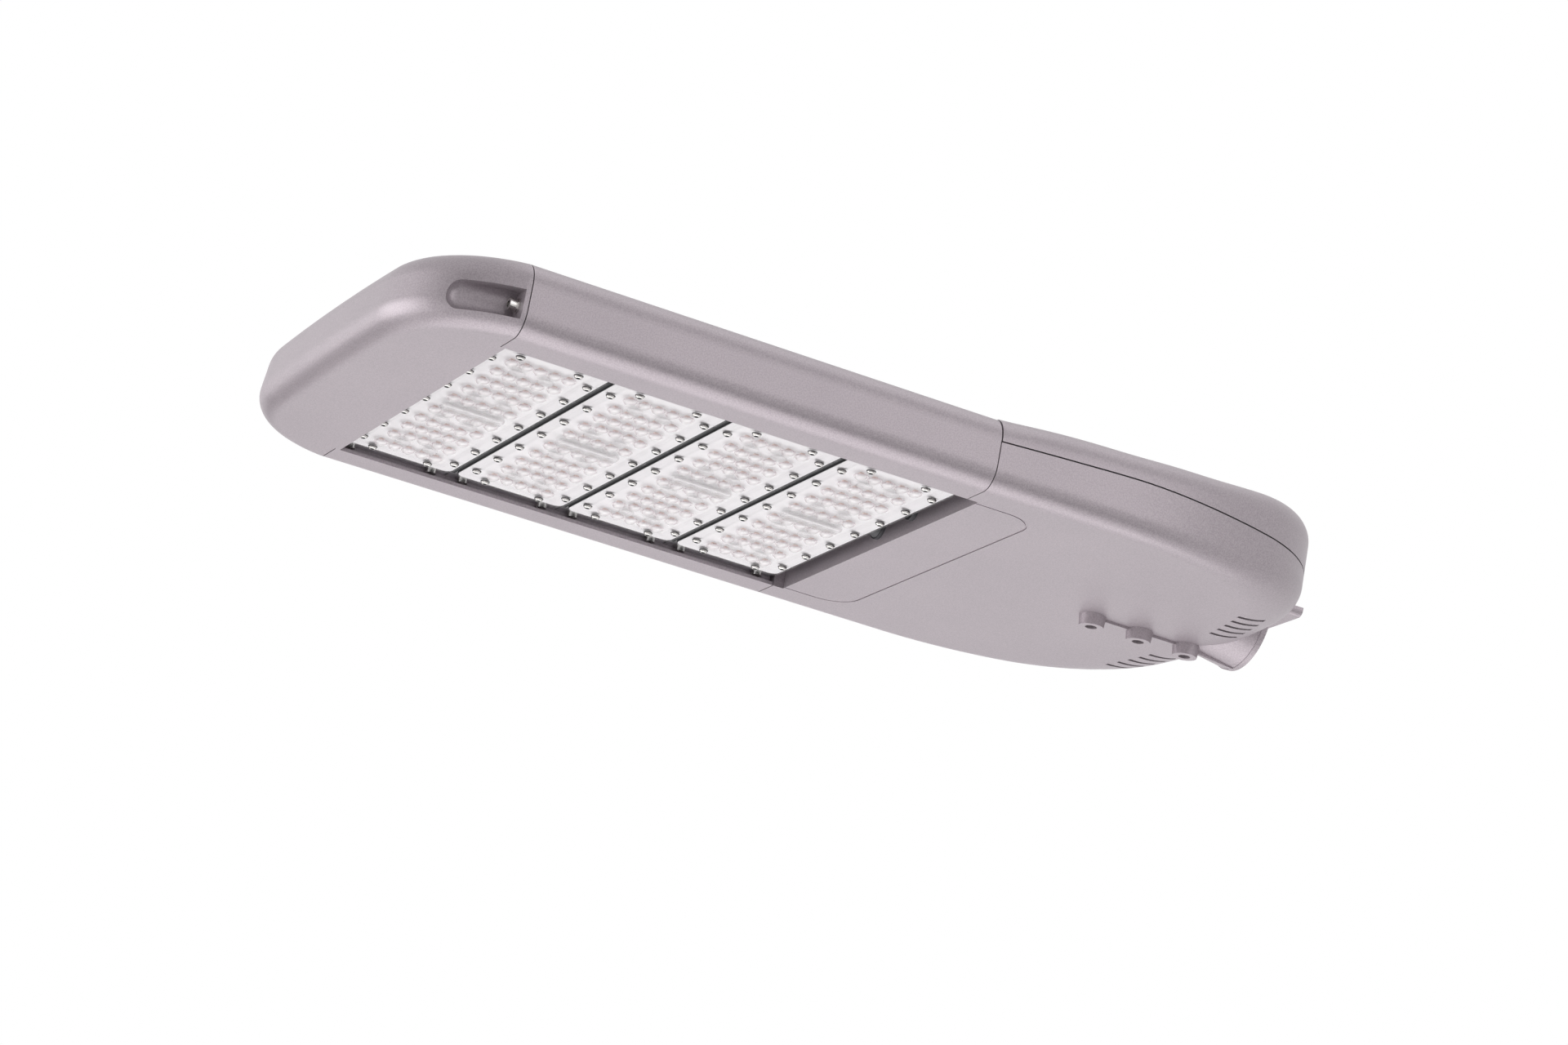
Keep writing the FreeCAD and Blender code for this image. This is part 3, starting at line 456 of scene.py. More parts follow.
@dataclass(frozen=True)
class Metal:
    """Bare metal with a fine grain that may be drawn out along one axis."""

    name: str
    light: tuple[float, float, float]
    dark: tuple[float, float, float]
    roughness: tuple[float, float]
    stretch: tuple[float, float, float] = (1.0, 1.0, 1.0)
    grain: Grain = Grain.BRUSH
    bump_strength: float = 0.15

    def make(self) -> bpy.types.Material:
        """Builds the material.

        Returns:
            The material.
        """
        shader = Shader(self.name)
        shader.set(Metallic=1.0)
        lines = shader.noise(self.grain.value, 4.0, Vector(self.stretch))
        tone = shader.ramp(lines.outputs["Fac"], [(0.3, self.dark), (0.7, self.light)])
        shader.links.new(tone.outputs["Color"], shader.surface.inputs["Base Color"])
        shader.drive("Roughness", lines.outputs["Fac"], *self.roughness)
        shader.bump(lines.outputs["Fac"], self.bump_strength, 0.0001)
        return shader.material


@dataclass(frozen=True)
class Moulded:
    """Moulded plastic, rubber or enamel with a faint surface grain."""

    name: str
    light: tuple[float, float, float]
    dark: tuple[float, float, float]
    roughness: tuple[float, float]
    specular: float = 0.5
    grain: Grain = Grain.MOULD
    bump_strength: float = 0.08

    def make(self) -> bpy.types.Material:
        """Builds the material.

        Returns:
            The material.
        """
        shader = Shader(self.name)
        shader.set(Specular_IOR_Level=self.specular)
        grain = shader.noise(self.grain.value, 2.0)
        clouds = shader.noise(24.0, 3.0)
        tone = shader.ramp(clouds.outputs["Fac"], [(0.3, self.dark), (0.7, self.light)])
        shader.links.new(tone.outputs["Color"], shader.surface.inputs["Base Color"])
        shader.drive("Roughness", grain.outputs["Fac"], *self.roughness)
        shader.bump(grain.outputs["Fac"], self.bump_strength, 0.00012)
        return shader.material


@dataclass(frozen=True)
class ClearLens:
    """Clear moulded lens plastic: a faint film where flat, a little greyer where it is raised."""

    name: str = "clear_lens"
    flat_tint: tuple[float, float, float] = (0.93, 0.915, 0.92)
    raised_tint: tuple[float, float, float] = (0.78, 0.74, 0.755)
    flat_alpha: float = 0.06
    raised_alpha: float = 0.4
    face_z: float = -34.0 * MM
    raised_z: float = -36.0 * MM
    flow_scale: float = 70.0
    flow_tint: tuple[float, float, float] = (0.96, 0.945, 0.955)

    def make(self) -> bpy.types.Material:
        """Builds the material.

        Returns:
            The material.
        """
        shader = Shader(self.name)
        shader.set(IOR=1.49, Specular_IOR_Level=0.8, Coat_Weight=0.5, Coat_Roughness=0.03)
        flow = shader.noise(self.flow_scale, 2.0)
        height = shader.height(self.face_z, self.raised_z)
        tone = shader.ramp(height, [(0.1, self.flat_tint), (0.8, self.raised_tint)])
        uneven = shader.ramp(flow.outputs["Fac"], [(0.3, self.flow_tint), (0.62, WHITE)])
        colour = shader.multiply(tone.outputs["Color"], uneven.outputs["Color"], 1.0)
        shader.links.new(colour, shader.surface.inputs["Base Color"])
        shader.drive("Alpha", height, self.flat_alpha, self.raised_alpha)
        shader.drive("Roughness", flow.outputs["Fac"], 0.02, 0.07)
        shader.bump(flow.outputs["Fac"], 0.03, 0.0004)
        return shader.material


@dataclass(frozen=True)
class DomeLens:
    """The lens domes, greyer and pinker at the foot than on top: painted shade at the foot, with
    the pink of the LED chips painted in as seen through the domes.
    """

    name: str = "dome_lens"
    painted_foot_shade: tuple[float, float, float] = (0.88, 0.76, 0.795)
    painted_waist_shade: tuple[float, float, float] = (0.93, 0.88, 0.895)
    crown_tint: tuple[float, float, float] = (1.0, 0.99, 0.995)
    foot_alpha: float = 0.34
    crown_alpha: float = 0.5
    foot_z: float = -34.0 * MM
    crown_z: float = -37.6 * MM
    flow_scale: float = 160.0
    flow_tint: tuple[float, float, float] = (0.93, 0.88, 0.895)

    def make(self) -> bpy.types.Material:
        """Builds the material.

        Returns:
            The material.
        """
        shader = Shader(self.name)
        shader.set(IOR=1.49, Specular_IOR_Level=0.9, Coat_Weight=0.8, Coat_Roughness=0.02)
        flow = shader.noise(self.flow_scale, 2.0)
        height = shader.height(self.foot_z, self.crown_z)
        # Painted shade: the ramp greys the domes towards their foot and tints them pink as a
        # painted image of the LED chips.
        tone = shader.ramp(height, [(0.0, self.painted_foot_shade), (0.5, self.painted_waist_shade),
                                    (0.85, self.crown_tint)])
        uneven = shader.ramp(flow.outputs["Fac"], [(0.35, self.flow_tint), (0.6, WHITE)])
        colour = shader.multiply(tone.outputs["Color"], uneven.outputs["Color"], 1.0)
        shader.links.new(colour, shader.surface.inputs["Base Color"])
        shader.drive("Alpha", height, self.foot_alpha, self.crown_alpha)
        shader.drive("Roughness", flow.outputs["Fac"], 0.03, 0.09)
        shader.bump(flow.outputs["Fac"], 0.04, 0.0004)
        return shader.material


@dataclass
class Finishes:
    """Every finish of the light head, built once."""

    made: dict[str, bpy.types.Material] = field(default_factory=dict)

    def build(self) -> None:
        """Builds all materials."""
        along_x = (0.06, 1.0, 1.0)
        along_y = (1.0, 0.05, 1.0)
        for finish in (
            PowderCoat(),
            ClearLens(),
            DomeLens(),
            Metal("stainless_steel", (0.66, 0.64, 0.62), (0.5, 0.49, 0.48), (0.18, 0.34)),
            Metal("extruded_aluminium", (0.74, 0.74, 0.75), (0.6, 0.6, 0.62), (0.28, 0.44),
                  along_y),
            Metal("zinc_plate", (0.66, 0.67, 0.68), (0.5, 0.51, 0.53), (0.3, 0.46), along_x),
            Metal("driver_case", (0.62, 0.63, 0.65), (0.5, 0.51, 0.53), (0.34, 0.48), along_y),
            Moulded("board_enamel", (0.96, 0.935, 0.95), (0.93, 0.9, 0.92), (0.3, 0.42), 0.1),
            Moulded("lens_print", (0.89, 0.865, 0.88), (0.86, 0.83, 0.85), (0.4, 0.55), 0.1),
            Moulded("phosphor", (0.93, 0.76, 0.68), (0.88, 0.68, 0.6), (0.4, 0.6)),
            Moulded("black_rubber", (0.03, 0.03, 0.032), (0.02, 0.02, 0.022), (0.6, 0.78), 0.3),
            Moulded("black_plastic", (0.055, 0.055, 0.06), (0.035, 0.035, 0.04), (0.38, 0.55)),
            Moulded("white_plastic", (0.82, 0.82, 0.8), (0.74, 0.74, 0.72), (0.35, 0.5)),
        ):
            self.made[finish.name] = finish.make()

    def dress(self, piece: bpy.types.Object, finish: str) -> None:
        """Gives a piece one finish all over.

        Args:
            piece: The object to dress.
            finish: The finish's name.
        """
        material = self.made[finish]
        if not piece.material_slots:
            piece.data.materials.append(material)
        for held in piece.material_slots:
            held.material = material


# The light head's own pieces.


@dataclass
class LensModule:
    """One clear lens plate with its domes, bosses, wire bridge, print, screws, and black rings of
    painted shadow round the screws.
    """

    number: int
    finishes: Finishes
    edge_trim: float = 0.5 * MM
    corner: float = 8.0 * MM
    rim_inset: float = 3.4 * MM
    rim_groove: float = 0.9 * MM
    rim_depth: float = 0.5 * MM
    face_rise: float = 4.4 * MM
    dome_half: tuple[float, float, float] = (5.1 * MM, 6.7 * MM, 3.6 * MM)
    dome_foot: tuple[float, float, float] = (5.9 * MM, 7.5 * MM, 0.4 * MM)
    foot_overlap: float = 0.2 * MM
    dome_lean: float = 0.2
    dome_row_pitch: float = 12.0 * MM
    dome_columns: tuple[float, ...] = (20.0 * MM, 49.2 * MM, 78.4 * MM, 107.6 * MM, 136.8 * MM)
    inner_shift: float = 5.0 * MM
    flat_radius: float = 6.8 * MM
    flat_height: float = 1.8 * MM
    flat_round: float = 0.55
    flat_columns: tuple[float, ...] = (35.5 * MM, 119.5 * MM)
    bridge_half: tuple[float, float, float] = (26.5 * MM, 8.0 * MM, 4.0 * MM)
    bridge_round: float = 0.6
    print_edge: float = 0.3 * MM
    print_width: float = 7.0 * MM
    print_slope: float = 5.0 * MM
    print_step: float = 0.6 * MM
    print_lift: float = 1.25 * MM
    print_rise: float = 0.15 * MM
    print_thickness: float = 0.06 * MM
    print_fold: float = 0.7
    tick_half: tuple[float, float, float] = (1.5 * MM, 0.35 * MM, 0.25 * MM)
    tick_round: float = 0.6
    screw_radius: float = 3.3 * MM
    screw_height: float = 2.3 * MM
    screw_round: float = 0.5
    screw_turn: float = 0.7
    recess_insets: tuple[float, float] = (0.1, 0.16)
    recess_share: float = 0.75
    # Where the recess is painted black as painted shade.
    painted_shade_reach: float = 0.62
    painted_shade_start: float = 0.1
    # The black rings round the screws are painted shadow.
    shadow_ring_radius: float = 3.8 * MM
    shadow_ring_height: float = 0.35 * MM
    shadow_ring_hole: float = 0.7
    screw_x: float = 40.0 * MM
    screw_pitch: float = 45.0 * MM
    end_screw: tuple[float, float] = (24.2 * MM, 155.0 * MM)

    def __post_init__(self) -> None:
        """Reads the plate's box from the frame."""
        low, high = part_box(f"lens_plate_{self.number}")
        self.centre = Vector(((low.x + high.x) / 2, (low.y + high.y) / 2, 0.0))
        self.half_x = (high.x - low.x) / 2 - self.edge_trim
        self.half_y = (high.y - low.y) / 2
        self.top_z = high.z
        self.face_z = low.z + self.face_rise

    def plate(self) -> bpy.types.Object:
        """Models the flat plate with round corners and a fine groove along its rim.

        Returns:
            The plate, on its own middle.
        """
        deselect()
        middle = (self.top_z + self.face_z) / 2
        bpy.ops.mesh.primitive_cube_add(size=1.0, location=(0.0, 0.0, middle))
        plate = bpy.context.object
        plate.scale = (2 * self.half_x, 2 * self.half_y, self.top_z - self.face_z)
        settle(plate)
        pick_edges(plate, is_upright)
        bpy.ops.mesh.bevel(offset=self.corner, segments=6, affect="EDGES")
        leave_edit()
        pick_faces(plate, looks_down)
        bpy.ops.mesh.inset(thickness=self.rim_inset)
        bpy.ops.mesh.inset(thickness=self.rim_groove / 3, depth=-self.rim_depth)
        bpy.ops.mesh.inset(thickness=self.rim_groove / 3)
        bpy.ops.mesh.inset(thickness=self.rim_groove / 3, depth=self.rim_depth)
        leave_edit()
        return plate

    def print_frame(self) -> bpy.types.Object:
        """Models the white frame printed on the plate's back, round the board.

        Returns:
            The frame, on the plate's own middle.
        """
        deselect()
        middle = self.top_z - self.print_rise - self.print_thickness / 2
        bpy.ops.mesh.primitive_cube_add(size=1.0, location=(0.0, 0.0, middle))
        frame_piece = bpy.context.object
        frame_piece.scale = (2 * (self.half_x - self.print_edge),
                             2 * (self.half_y - self.print_edge), self.print_thickness)
        settle(frame_piece)
        pick_edges(frame_piece, is_upright)
        bpy.ops.mesh.bevel(offset=self.corner - self.print_edge, segments=6, affect="EDGES")
        leave_edit()
        pick_faces(frame_piece, is_level)
        bpy.ops.mesh.inset(thickness=self.print_width)
        bpy.ops.mesh.inset(thickness=self.print_step)
        bpy.ops.mesh.bridge_edge_loops()
        leave_edit()
        flat = self.print_edge + self.print_width
        inner_x, inner_y = (half - flat - self.print_slope for half in (self.half_x, self.half_y))
        for vertex in frame_piece.data.vertices:
            place = vertex.co
            inset = min(self.half_x - abs(place.x), self.half_y - abs(place.y))
            if inset > flat + self.print_fold * self.print_step:
                place.x = math.copysign(min(abs(place.x), inner_x), place.x)
                place.y = math.copysign(min(abs(place.y), inner_y), place.y)
                place.z += self.print_lift
        return frame_piece

    def dome(self) -> bpy.types.Object:
        """Models one lens dome: an open oval crown that leans to the nose, in a low oval ring.

        Returns:
            The dome, with its base at the plate's face.
        """
        deselect()
        bpy.ops.mesh.primitive_uv_sphere_add(segments=16, ring_count=10, radius=1.0)
        crown = bpy.context.object
        crown.scale = self.dome_half
        settle(crown)
        bpy.ops.object.mode_set(mode="EDIT")
        bpy.ops.mesh.select_all(action="SELECT")
        bpy.ops.mesh.bisect(plane_co=(0.0, 0.0, 0.0), plane_no=(0.0, 0.0, 1.0), use_fill=False,
                            clear_outer=True)
        leave_edit()
        for vertex in crown.data.vertices:
            depth = -vertex.co.z / self.dome_half[2]
            vertex.co.x += self.dome_lean * self.dome_half[0] * depth ** 2
        bpy.ops.mesh.primitive_cylinder_add(vertices=16, radius=1.0, depth=1.0,
                                            location=(0.0, 0.0, -self.dome_foot[2] / 2))
        foot = bpy.context.object
        foot.scale = self.dome_foot
        settle(foot)
        pick_faces(foot, is_level)
        rim = self.dome_foot[0] - self.dome_half[0]
        bpy.ops.mesh.inset(thickness=rim + self.foot_overlap)
        bpy.ops.mesh.bridge_edge_loops()
        leave_edit()
        dome = join([crown, foot], "dome_pattern")
        dome.data.transform(Matrix.Translation((0.0, 0.0, self.face_z)))
        return dome

    def flat_boss(self) -> bpy.types.Object:
        """Models one low round boss between the domes.

        Returns:
            The boss, with its base at the plate's face.
        """
        boss = disc_under(self.face_z, self.flat_radius, self.flat_height, 24)
        low = self.face_z - self.flat_height
        pick_edges(boss, at_height(low))
        bpy.ops.mesh.bevel(offset=self.flat_height * self.flat_round, segments=3, affect="EDGES")
        leave_edit()
        return boss

    def bridge(self) -> bpy.types.Object:
        """Models the raised bridge over the wires in the plate's middle.

        Returns:
            The bridge, with its base at the plate's face.
        """
        deselect()
        middle = self.face_z - self.bridge_half[2] / 2
        bpy.ops.mesh.primitive_cube_add(size=2.0, location=(0.0, 0.0, middle))
        bridge = bpy.context.object
        bridge.scale = (self.bridge_half[0], self.bridge_half[1], self.bridge_half[2] / 2)
        settle(bridge)
        pick_edges(bridge, is_upright)
        bpy.ops.mesh.bevel(offset=self.bridge_half[1] * self.bridge_round, segments=5,
                           affect="EDGES")
        leave_edit()
        pick_faces(bridge, looks_down)
        bpy.ops.mesh.bevel(offset=self.bridge_half[2] * self.bridge_round, segments=4,
                           affect="EDGES")
        leave_edit()
        return bridge

    def screw(self) -> bpy.types.Object:
        """Models one pan head screw with a round recess, painted black inside as painted shade.

        Returns:
            The screw, with its seat at the plate's face.
        """
        screw = disc_under(self.face_z, self.screw_radius, self.screw_height)
        low = self.face_z - self.screw_height
        pick_edges(screw, at_height(low))
        bpy.ops.mesh.bevel(offset=self.screw_height * self.screw_round, segments=3, affect="EDGES")
        leave_edit()
        pick_faces(screw, looks_down)
        bpy.ops.mesh.inset(thickness=self.screw_radius * self.recess_insets[0])
        bpy.ops.mesh.inset(thickness=self.screw_radius * self.recess_insets[1],
                           depth=-self.screw_height * self.recess_share)
        leave_edit()
        # The recess's inner faces get the black plastic: painted shade in a recess of bare steel.
        for finish in ("stainless_steel", "black_plastic"):
            screw.data.materials.append(self.finishes.made[finish])
        painted_shade_low = low + self.painted_shade_start * self.screw_height
        for face in screw.data.polygons:
            off_axis = math.hypot(face.center.x, face.center.y) / self.screw_radius
            if off_axis < self.painted_shade_reach and painted_shade_low < face.center.z <= self.face_z - SAME_PLACE:
                face.material_index = 1
        return screw

    def screw_shadow_ring(self) -> bpy.types.Object:
        """Models the thin black ring round a screw on the plate: a painted shadow round the
        screw's head.

        Returns:
            The ring, with its seat at the plate's face.
        """
        # A black ring as painted shadow, which shows round the screw's head.
        ring = disc_under(self.face_z, self.shadow_ring_radius, self.shadow_ring_height)
        pick_faces(ring, is_level)
        bpy.ops.mesh.inset(thickness=self.shadow_ring_radius - self.screw_radius * self.shadow_ring_hole)
        bpy.ops.mesh.bridge_edge_loops()
        leave_edit()
        return ring

    def tick(self) -> bpy.types.Object:
        """Models one small rib across the plate's rim, beside a screw.

        Returns:
            The rib, with its base at the plate's face.
        """
        deselect()
        middle = self.face_z - self.tick_half[2]
        bpy.ops.mesh.primitive_cube_add(size=2.0, location=(0.0, 0.0, middle))
        tick = bpy.context.object
        tick.scale = self.tick_half
        settle(tick)
        pick_faces(tick, looks_down)
        bpy.ops.mesh.bevel(offset=self.tick_half[1] * self.tick_round, segments=2, affect="EDGES")
        leave_edit()
        return tick

    def tick_places(self) -> list[Vector]:
        """Where the small ribs stand on the long rims, seen from the plate's middle.

        Returns:
            One place for each rib.
        """
        x = self.half_x - self.rim_inset / 2
        return [Vector((side.value * x, step * self.screw_pitch + self.screw_pitch / 6, 0.0))
                for side in Side for step in range(-3, 4)]

    def dome_places(self) -> list[Vector]:
        """Where the domes stand on the plate, seen from its middle.

        Returns:
            One place for each dome.
        """
        places = []
        for row in (-2, -1, 0, 1, 2):
            for i, column in enumerate(self.dome_columns):
                y = column
                if abs(row) < 2 and i == 1:
                    y += self.inner_shift
                if abs(row) < 2 and i == 3:
                    y -= self.inner_shift
                for side in Side:
                    places.append(Vector((row * self.dome_row_pitch, side.value * y, 0.0)))
        return places

    def screw_places(self) -> list[Vector]:
        """Where the screws stand round the plate, seen from its middle.

        Returns:
            One place for each screw.
        """
        places = []
        for side in Side:
            for step in range(-3, 4):
                places.append(Vector((side.value * self.screw_x, step * self.screw_pitch, 0.0)))
            for end in Side:
                places.append(Vector((side.value * self.end_screw[0],
                                      end.value * self.end_screw[1], 0.0)))
        return places

    def build(self) -> None:
        """Builds the plate and its screws, dresses them and mounts them on the body."""
        patterns = self.dome(), self.flat_boss(), self.screw(), self.screw_shadow_ring(), self.tick()
        dome, boss, screw, ring, tick = patterns
        parts = [self.plate(), self.bridge()]
        parts += [copy_to(tick, place) for place in self.tick_places()]
        for x in (-self.dome_row_pitch, self.dome_row_pitch):
            for y in self.flat_columns:
                parts += [copy_to(boss, Vector((x, side.value * y, 0.0))) for side in Side]
        plate = join(parts, f"clear_lens_plate_{self.number}")
        domes = join([copy_to(dome, place) for place in self.dome_places()],
                     f"lens_domes_{self.number}")
        screws = join([copy_to(screw, place, self.screw_turn * i)
                       for i, place in enumerate(self.screw_places())],
                      f"lens_screws_{self.number}")
        shadow_rings = join([copy_to(ring, place) for place in self.screw_places()],
                     f"lens_screw_shadow_rings_{self.number}")
        printed = join([self.print_frame()], f"lens_print_{self.number}")
        for pattern in patterns:
            drop(pattern)
        for piece, finish, slot in ((plate, "clear_lens", "lens_clear"),
                                    (domes, "dome_lens", "lens_clear"),
                                    (printed, "lens_print", "board_white"),
                                    # The black rings are painted shadow round the screws.
                                    (shadow_rings, "black_rubber", "black_rubber"),
                                    (screws, None, "stainless_steel")):
            piece.data.transform(Matrix.Translation(self.centre))
            if finish:
                piece.data.materials.clear()
                self.finishes.dress(piece, finish)
            smooth(piece)
            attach(piece, "main")
        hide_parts(f"lens_plate_{self.number}")
        log.info("lens module %d: %d faces", self.number, len(plate.data.polygons))


@dataclass
class PaintedGapShade:
    """Black sheets at the back of the gaps between the lens modules: painted shade that makes the
    gaps look dark.
    """

    finishes: Finishes
    side_gap: float = 0.1 * MM
    thickness: float = 1.6 * MM
    end_round: float = 0.8 * MM

    def build(self) -> None:
        """Builds the painted shade sheets, dresses them black and mounts them on the body."""
        shade_sheets = []
        for front, rear in zip(MODULES, MODULES[1:]):
            front_low, front_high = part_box(f"lens_gasket_{front}")
            rear_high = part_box(f"lens_gasket_{rear}")[1]
            width = front_low.x - rear_high.x - 2 * self.side_gap
            deselect()
            bpy.ops.mesh.primitive_cube_add(size=1.0, location=(
                (front_low.x + rear_high.x) / 2, (front_low.y + front_high.y) / 2,
                front_high.z - self.side_gap - self.thickness / 2))
            shade_sheet = bpy.context.object
            shade_sheet.scale = (width, front_high.y - front_low.y, self.thickness)
            settle(shade_sheet)
            pick_edges(shade_sheet, is_upright)
            bpy.ops.mesh.bevel(offset=self.end_round, segments=3, affect="EDGES")
            leave_edit()
            shade_sheets.append(shade_sheet)
        # The sheets are painted shade in the gaps, dressed in black rubber.
        piece = join(shade_sheets, "module_gap_painted_shade")
        piece.data.materials.clear()
        self.finishes.dress(piece, "black_rubber")
        smooth(piece)
        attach(piece, "main")


@dataclass
class JointSeals:
    """The thin black seals between the rails and the two castings."""

    finishes: Finishes
    body_width: float = 35.0 * MM
    inset: float = 0.9 * MM
    rear_faces: tuple[float, float] = (353.6 * MM, 353.9 * MM)
    front_faces: tuple[float, float] = (753.1 * MM, 753.7 * MM)
    rear_top: float = -1.5 * MM
    lower_round: float = 17.1 * MM
    upper_round: float = 21.1 * MM

    def seal(self, side: Side, faces: tuple[float, float], top: float) -> bpy.types.Object:
        """Models one seal, which follows the rail's outline a little inside it.

        Args:
            side: The side that the rail is on.
            faces: Where its two faces are along X.
            top: Its highest point.

        Returns:
            The seal.
        """
        low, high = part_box(f"side_rail_{side.name.lower()}")
        outer = max(abs(low.y), abs(high.y)) - self.inset
        inner = outer - self.body_width + self.inset
        bottom = low.z + self.inset
        deselect()
        bpy.ops.mesh.primitive_cube_add(size=1.0, location=(
            sum(faces) / 2, side.value * (outer + inner) / 2, (bottom + top) / 2))
        seal = bpy.context.object
        seal.scale = (faces[1] - faces[0], outer - inner, top - bottom)
        settle(seal)
        rounds = [(bottom, self.lower_round)]
        if top > 0:
            rounds.append((top, self.upper_round))
        for height, radius in rounds:
            pick_edges(seal, lambda a, b: all(
                max(abs(abs(end.y) - outer), abs(end.z - height)) < UPRIGHT for end in (a, b)))
            bpy.ops.mesh.bevel(offset=radius, segments=8, affect="EDGES")
            leave_edit()
        return seal

    def build(self) -> None:
        """Builds the four seals, dresses them and mounts them on the body."""
        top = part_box("side_rail_left")[1].z - self.inset
        seals = [self.seal(side, faces, height) for side in Side
                 for faces, height in ((self.rear_faces, self.rear_top), (self.front_faces, top))]
        piece = join(seals, "joint_seals")
        piece.data.materials.clear()
        self.finishes.dress(piece, "black_rubber")
        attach(piece, "main")


@dataclass
class Housing:
    """The nodes that are kept as they are and only get their finishes."""

    finishes: Finishes
    plain: dict[str, str] = field(default_factory=lambda: {
        "nose_cap": "powder_coat",
        "side_rail_left": "powder_coat",
        "side_rail_right": "powder_coat",
        "rear_housing": "powder_coat",
        "top_cover": "powder_coat",
        "nose_cap_screws": "stainless_steel",
        "nose_cap_washers": "stainless_steel",
        "module_screws": "stainless_steel",
        "rail_end_screws": "stainless_steel",
        "socket_set_screws": "stainless_steel",
        "cover_screws": "stainless_steel",
        "hinge_pins": "stainless_steel",
        "gear_screws": "stainless_steel",
        "cover_gasket": "black_rubber",
        "gear_plate": "zinc_plate",
        "led_driver": "driver_case",
        "terminal_block": "white_plastic",
        "surge_protector": "black_plastic",
        "cable_clamp": "black_plastic",
        "wall_gland": "black_plastic",
        "breather_plug": "black_plastic",
    })
    repeated: dict[str, str] = field(default_factory=lambda: {
        "heat_sink": "extruded_aluminium",
        "wire_gland": "black_plastic",
        "led_board": "board_enamel",
        "led_chips": "phosphor",
        "lens_gasket": "black_rubber",
    })

    def dress(self) -> None:
        """Gives each node its finish."""
        nodes = frame["nodes"]
        for node, finish in self.plain.items():
            self.finishes.dress(nodes[node], finish)
        for kind, finish in self.repeated.items():
            for number in MODULES:
                self.finishes.dress(nodes[f"{kind}_{number}"], finish)
        log.info("dressed %d nodes", len(self.plain) + len(self.repeated) * len(MODULES))


# Studio.


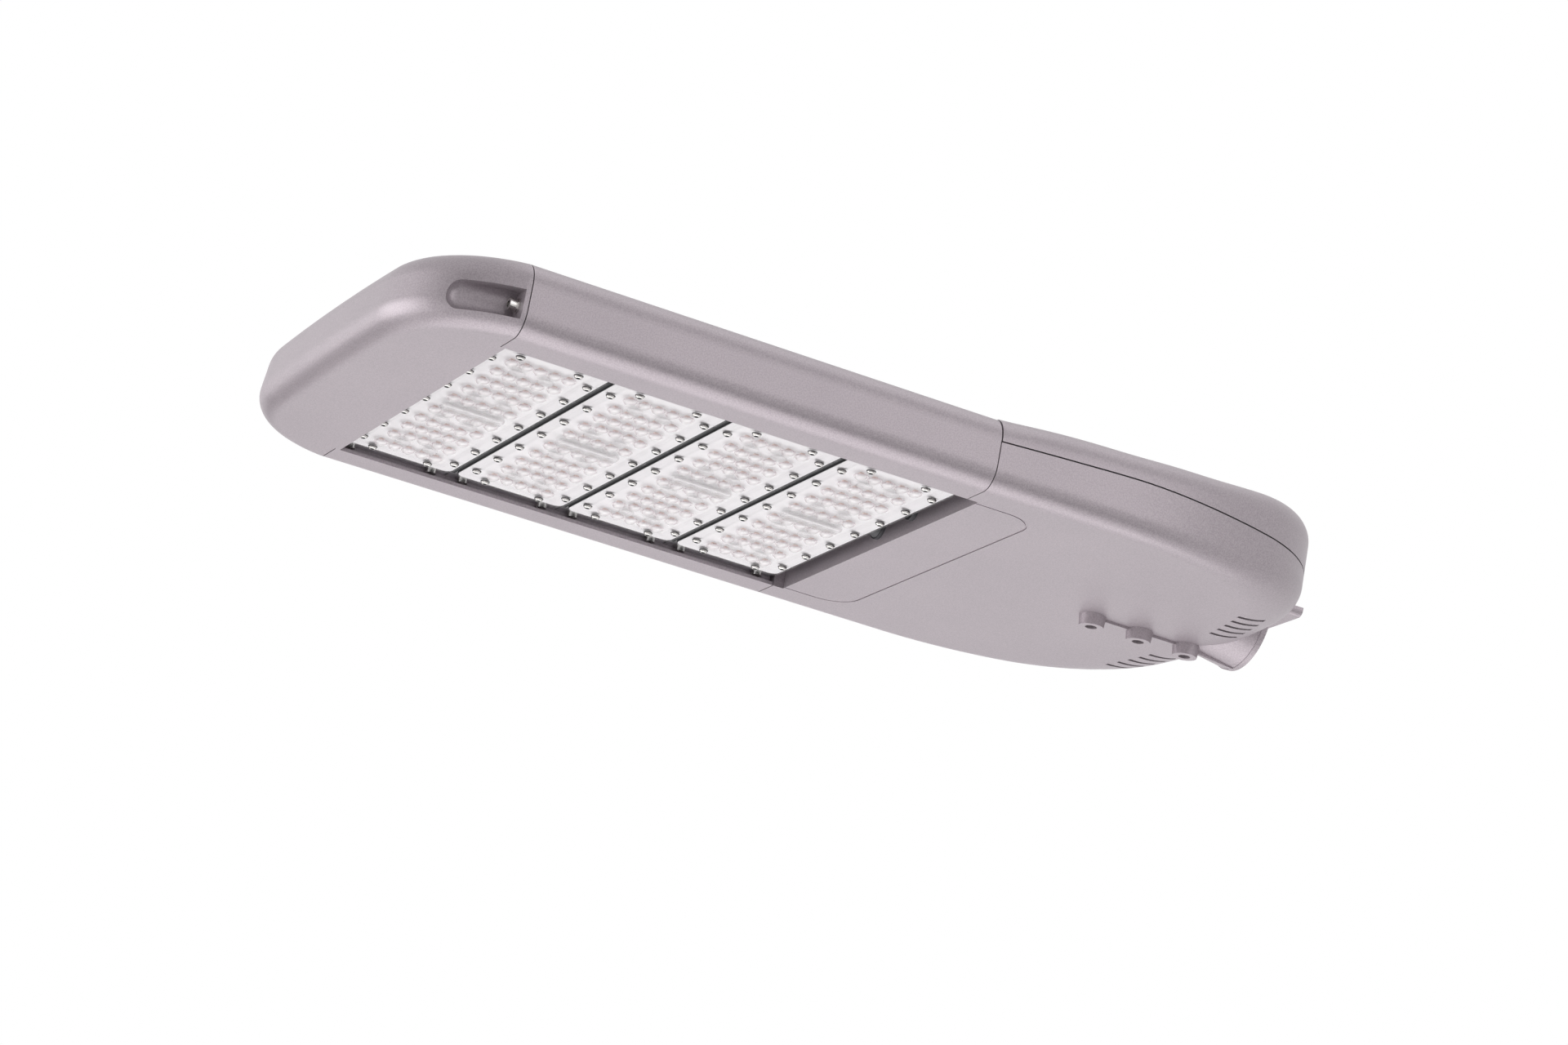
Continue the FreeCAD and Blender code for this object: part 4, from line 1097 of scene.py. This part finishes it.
@dataclass
class Studio:
    """Pale floor, white surround, soft lamps, dark cards and the camera."""

    floor_z: float = -4.5
    floor_size: float = 60.0
    floor_glow: float = 0.62
    camera_place: tuple[float, float, float] = (1.8666, 3.4000, -1.2109)
    camera_target: tuple[float, float, float] = (0.4222, -0.0137, -0.0379)
    camera_roll: float = 10.4
    lens: float = 110.83
    sensor_width: float = 36.0
    far_clip: float = 200.0
    surround: float = 0.42

    def seen_white(self, tree: bpy.types.NodeTree) -> bpy.types.NodeSocket:
        """Adds the test for a ray that the camera sees, also in metal or through glass.

        Args:
            tree: The material's or the world's node tree.

        Returns:
            The socket that is 1 for such a ray.
        """
        path = tree.nodes.new("ShaderNodeLightPath")
        shown = path.outputs["Is Camera Ray"]
        for kind in ("Is Glossy Ray", "Is Transmission Ray"):
            either = tree.nodes.new("ShaderNodeMath")
            either.operation = "MAXIMUM"
            tree.links.new(shown, either.inputs[0])
            tree.links.new(path.outputs[kind], either.inputs[1])
            shown = either.outputs["Value"]
        return shown

    def floor(self) -> None:
        """Adds the pale floor, which the camera sees as white, with the object's shadow on it."""
        deselect()
        bpy.ops.mesh.primitive_plane_add(size=self.floor_size, location=(0.0, 0.0, self.floor_z))
        floor = bpy.context.object
        floor.name = "studio_floor"
        shader = Shader("studio_floor")
        shader.set(Base_Color=(0.8, 0.8, 0.8, 1.0), Roughness=0.9, Specular_IOR_Level=0.1)
        tree = shader.material.node_tree
        glow = tree.nodes.new("ShaderNodeEmission")
        share = tree.nodes.new("ShaderNodeMath")
        share.operation = "MULTIPLY"
        share.inputs[1].default_value = self.floor_glow
        tree.links.new(self.seen_white(tree), share.inputs[0])
        tree.links.new(share.outputs["Value"], glow.inputs["Strength"])
        both = tree.nodes.new("ShaderNodeAddShader")
        tree.links.new(shader.surface.outputs["BSDF"], both.inputs[0])
        tree.links.new(glow.outputs["Emission"], both.inputs[1])
        tree.links.new(both.outputs["Shader"], tree.nodes["Material Output"].inputs["Surface"])
        floor.data.materials.append(shader.material)

    def world(self) -> None:
        """Makes the surround white to the camera and softer as a light."""
        world = bpy.data.worlds.new("studio_surround")
        bpy.context.scene.world = world
        world.use_nodes = True
        nodes, links = world.node_tree.nodes, world.node_tree.links
        lit = nodes["Background"]
        lit.inputs["Color"].default_value = (*WHITE, 1.0)
        lit.inputs["Strength"].default_value = self.surround
        seen = nodes.new("ShaderNodeBackground")
        seen.inputs["Color"].default_value = (*WHITE, 1.0)
        seen.inputs["Strength"].default_value = 1.0
        mix = nodes.new("ShaderNodeMixShader")
        links.new(self.seen_white(world.node_tree), mix.inputs["Fac"])
        links.new(lit.outputs["Background"], mix.inputs[1])
        links.new(seen.outputs["Background"], mix.inputs[2])
        links.new(mix.outputs["Shader"], nodes["World Output"].inputs["Surface"])

    def lamp(self, name: str, place: tuple[float, float, float], power: float,
             size: float) -> None:
        """Adds one square soft lamp that points at the light head.

        Args:
            name: The lamp's name.
            place: Where it stands.
            power: Its power in watts.
            size: Its side in metres.
        """
        deselect()
        bpy.ops.object.light_add(type="AREA", location=place)
        lamp = bpy.context.object
        lamp.name = name
        lamp.data.energy = power
        lamp.data.size = size
        aim = Vector(self.camera_target) - Vector(place)
        lamp.rotation_euler = aim.to_track_quat("-Z", "Y").to_euler()

    def card(self, name: str, place: tuple[float, float, float],
             facing: tuple[float, float, float], size: tuple[float, float]) -> None:
        """Adds one dark studio card that only shows as a soft dark band in the paint.

        Args:
            name: The card's name.
            place: Where it stands.
            facing: Which way its front looks.
            size: Its width and height in metres.
        """
        deselect()
        bpy.ops.mesh.primitive_plane_add(size=1.0, location=place)
        card = bpy.context.object
        card.name = name
        card.scale = (*size, 1.0)
        card.rotation_euler = Vector(facing).to_track_quat("Z", "Y").to_euler()
        card.visible_camera = False
        shader = Shader(name)
        shader.set(Base_Color=(0.02, 0.02, 0.02, 1.0), Roughness=0.95, Specular_IOR_Level=0.0)
        card.data.materials.append(shader.material)

    def camera(self) -> None:
        """Adds the camera at the photograph's angle, with its slight roll."""
        deselect()
        bpy.ops.object.camera_add(location=self.camera_place)
        camera = bpy.context.object
        camera.name = "photo_camera"
        aim = Vector(self.camera_target) - Vector(self.camera_place)
        level = aim.to_track_quat("-Z", "Y").to_matrix().to_4x4()
        roll = Matrix.Rotation(math.radians(self.camera_roll), 4, "Z")
        camera.matrix_world = Matrix.Translation(self.camera_place) @ level @ roll
        camera.data.lens = self.lens
        camera.data.sensor_width = self.sensor_width
        camera.data.clip_end = self.far_clip
        bpy.context.scene.camera = camera

    def build(self) -> None:
        """Sets up the whole studio."""
        self.floor()
        self.world()
        self.lamp("low_softbox", (0.3, -0.2, -1.75), 27.0, 2.3)
        self.lamp("front_softbox", (3.0, -1.1, -0.2), 46.0, 2.2)
        self.lamp("side_softbox", (-0.9, 3.2, 0.9), 22.0, 2.2)
        self.lamp("top_softbox", (-0.2, 0.2, 2.6), 11.0, 2.0)
        self.card("dark_card_near", (-0.3, 1.5, -1.6), (0.35, -0.65, 0.7), (1.6, 0.9))
        self.card("dark_card_corner", (3.3, 1.6, 0.9), (-0.85, -0.42, -0.3), (1.5, 1.3))
        self.card("dark_card_far", (1.6, -2.3, -1.0), (-0.3, 0.9, 0.35), (2.2, 1.1))
        self.camera()
        bpy.context.scene.view_settings.view_transform = "Standard"
        log.info("studio is set")


def main() -> None:
    """Builds the looks of the light head in order."""
    logging.basicConfig(level=logging.INFO, format="%(name)s: %(message)s")
    finishes = Finishes()
    finishes.build()
    Housing(finishes).dress()
    for number in MODULES:
        LensModule(number, finishes).build()
    PaintedGapShade(finishes).build()
    JointSeals(finishes).build()
    Studio().build()


if __name__ == "__main__":
    main()
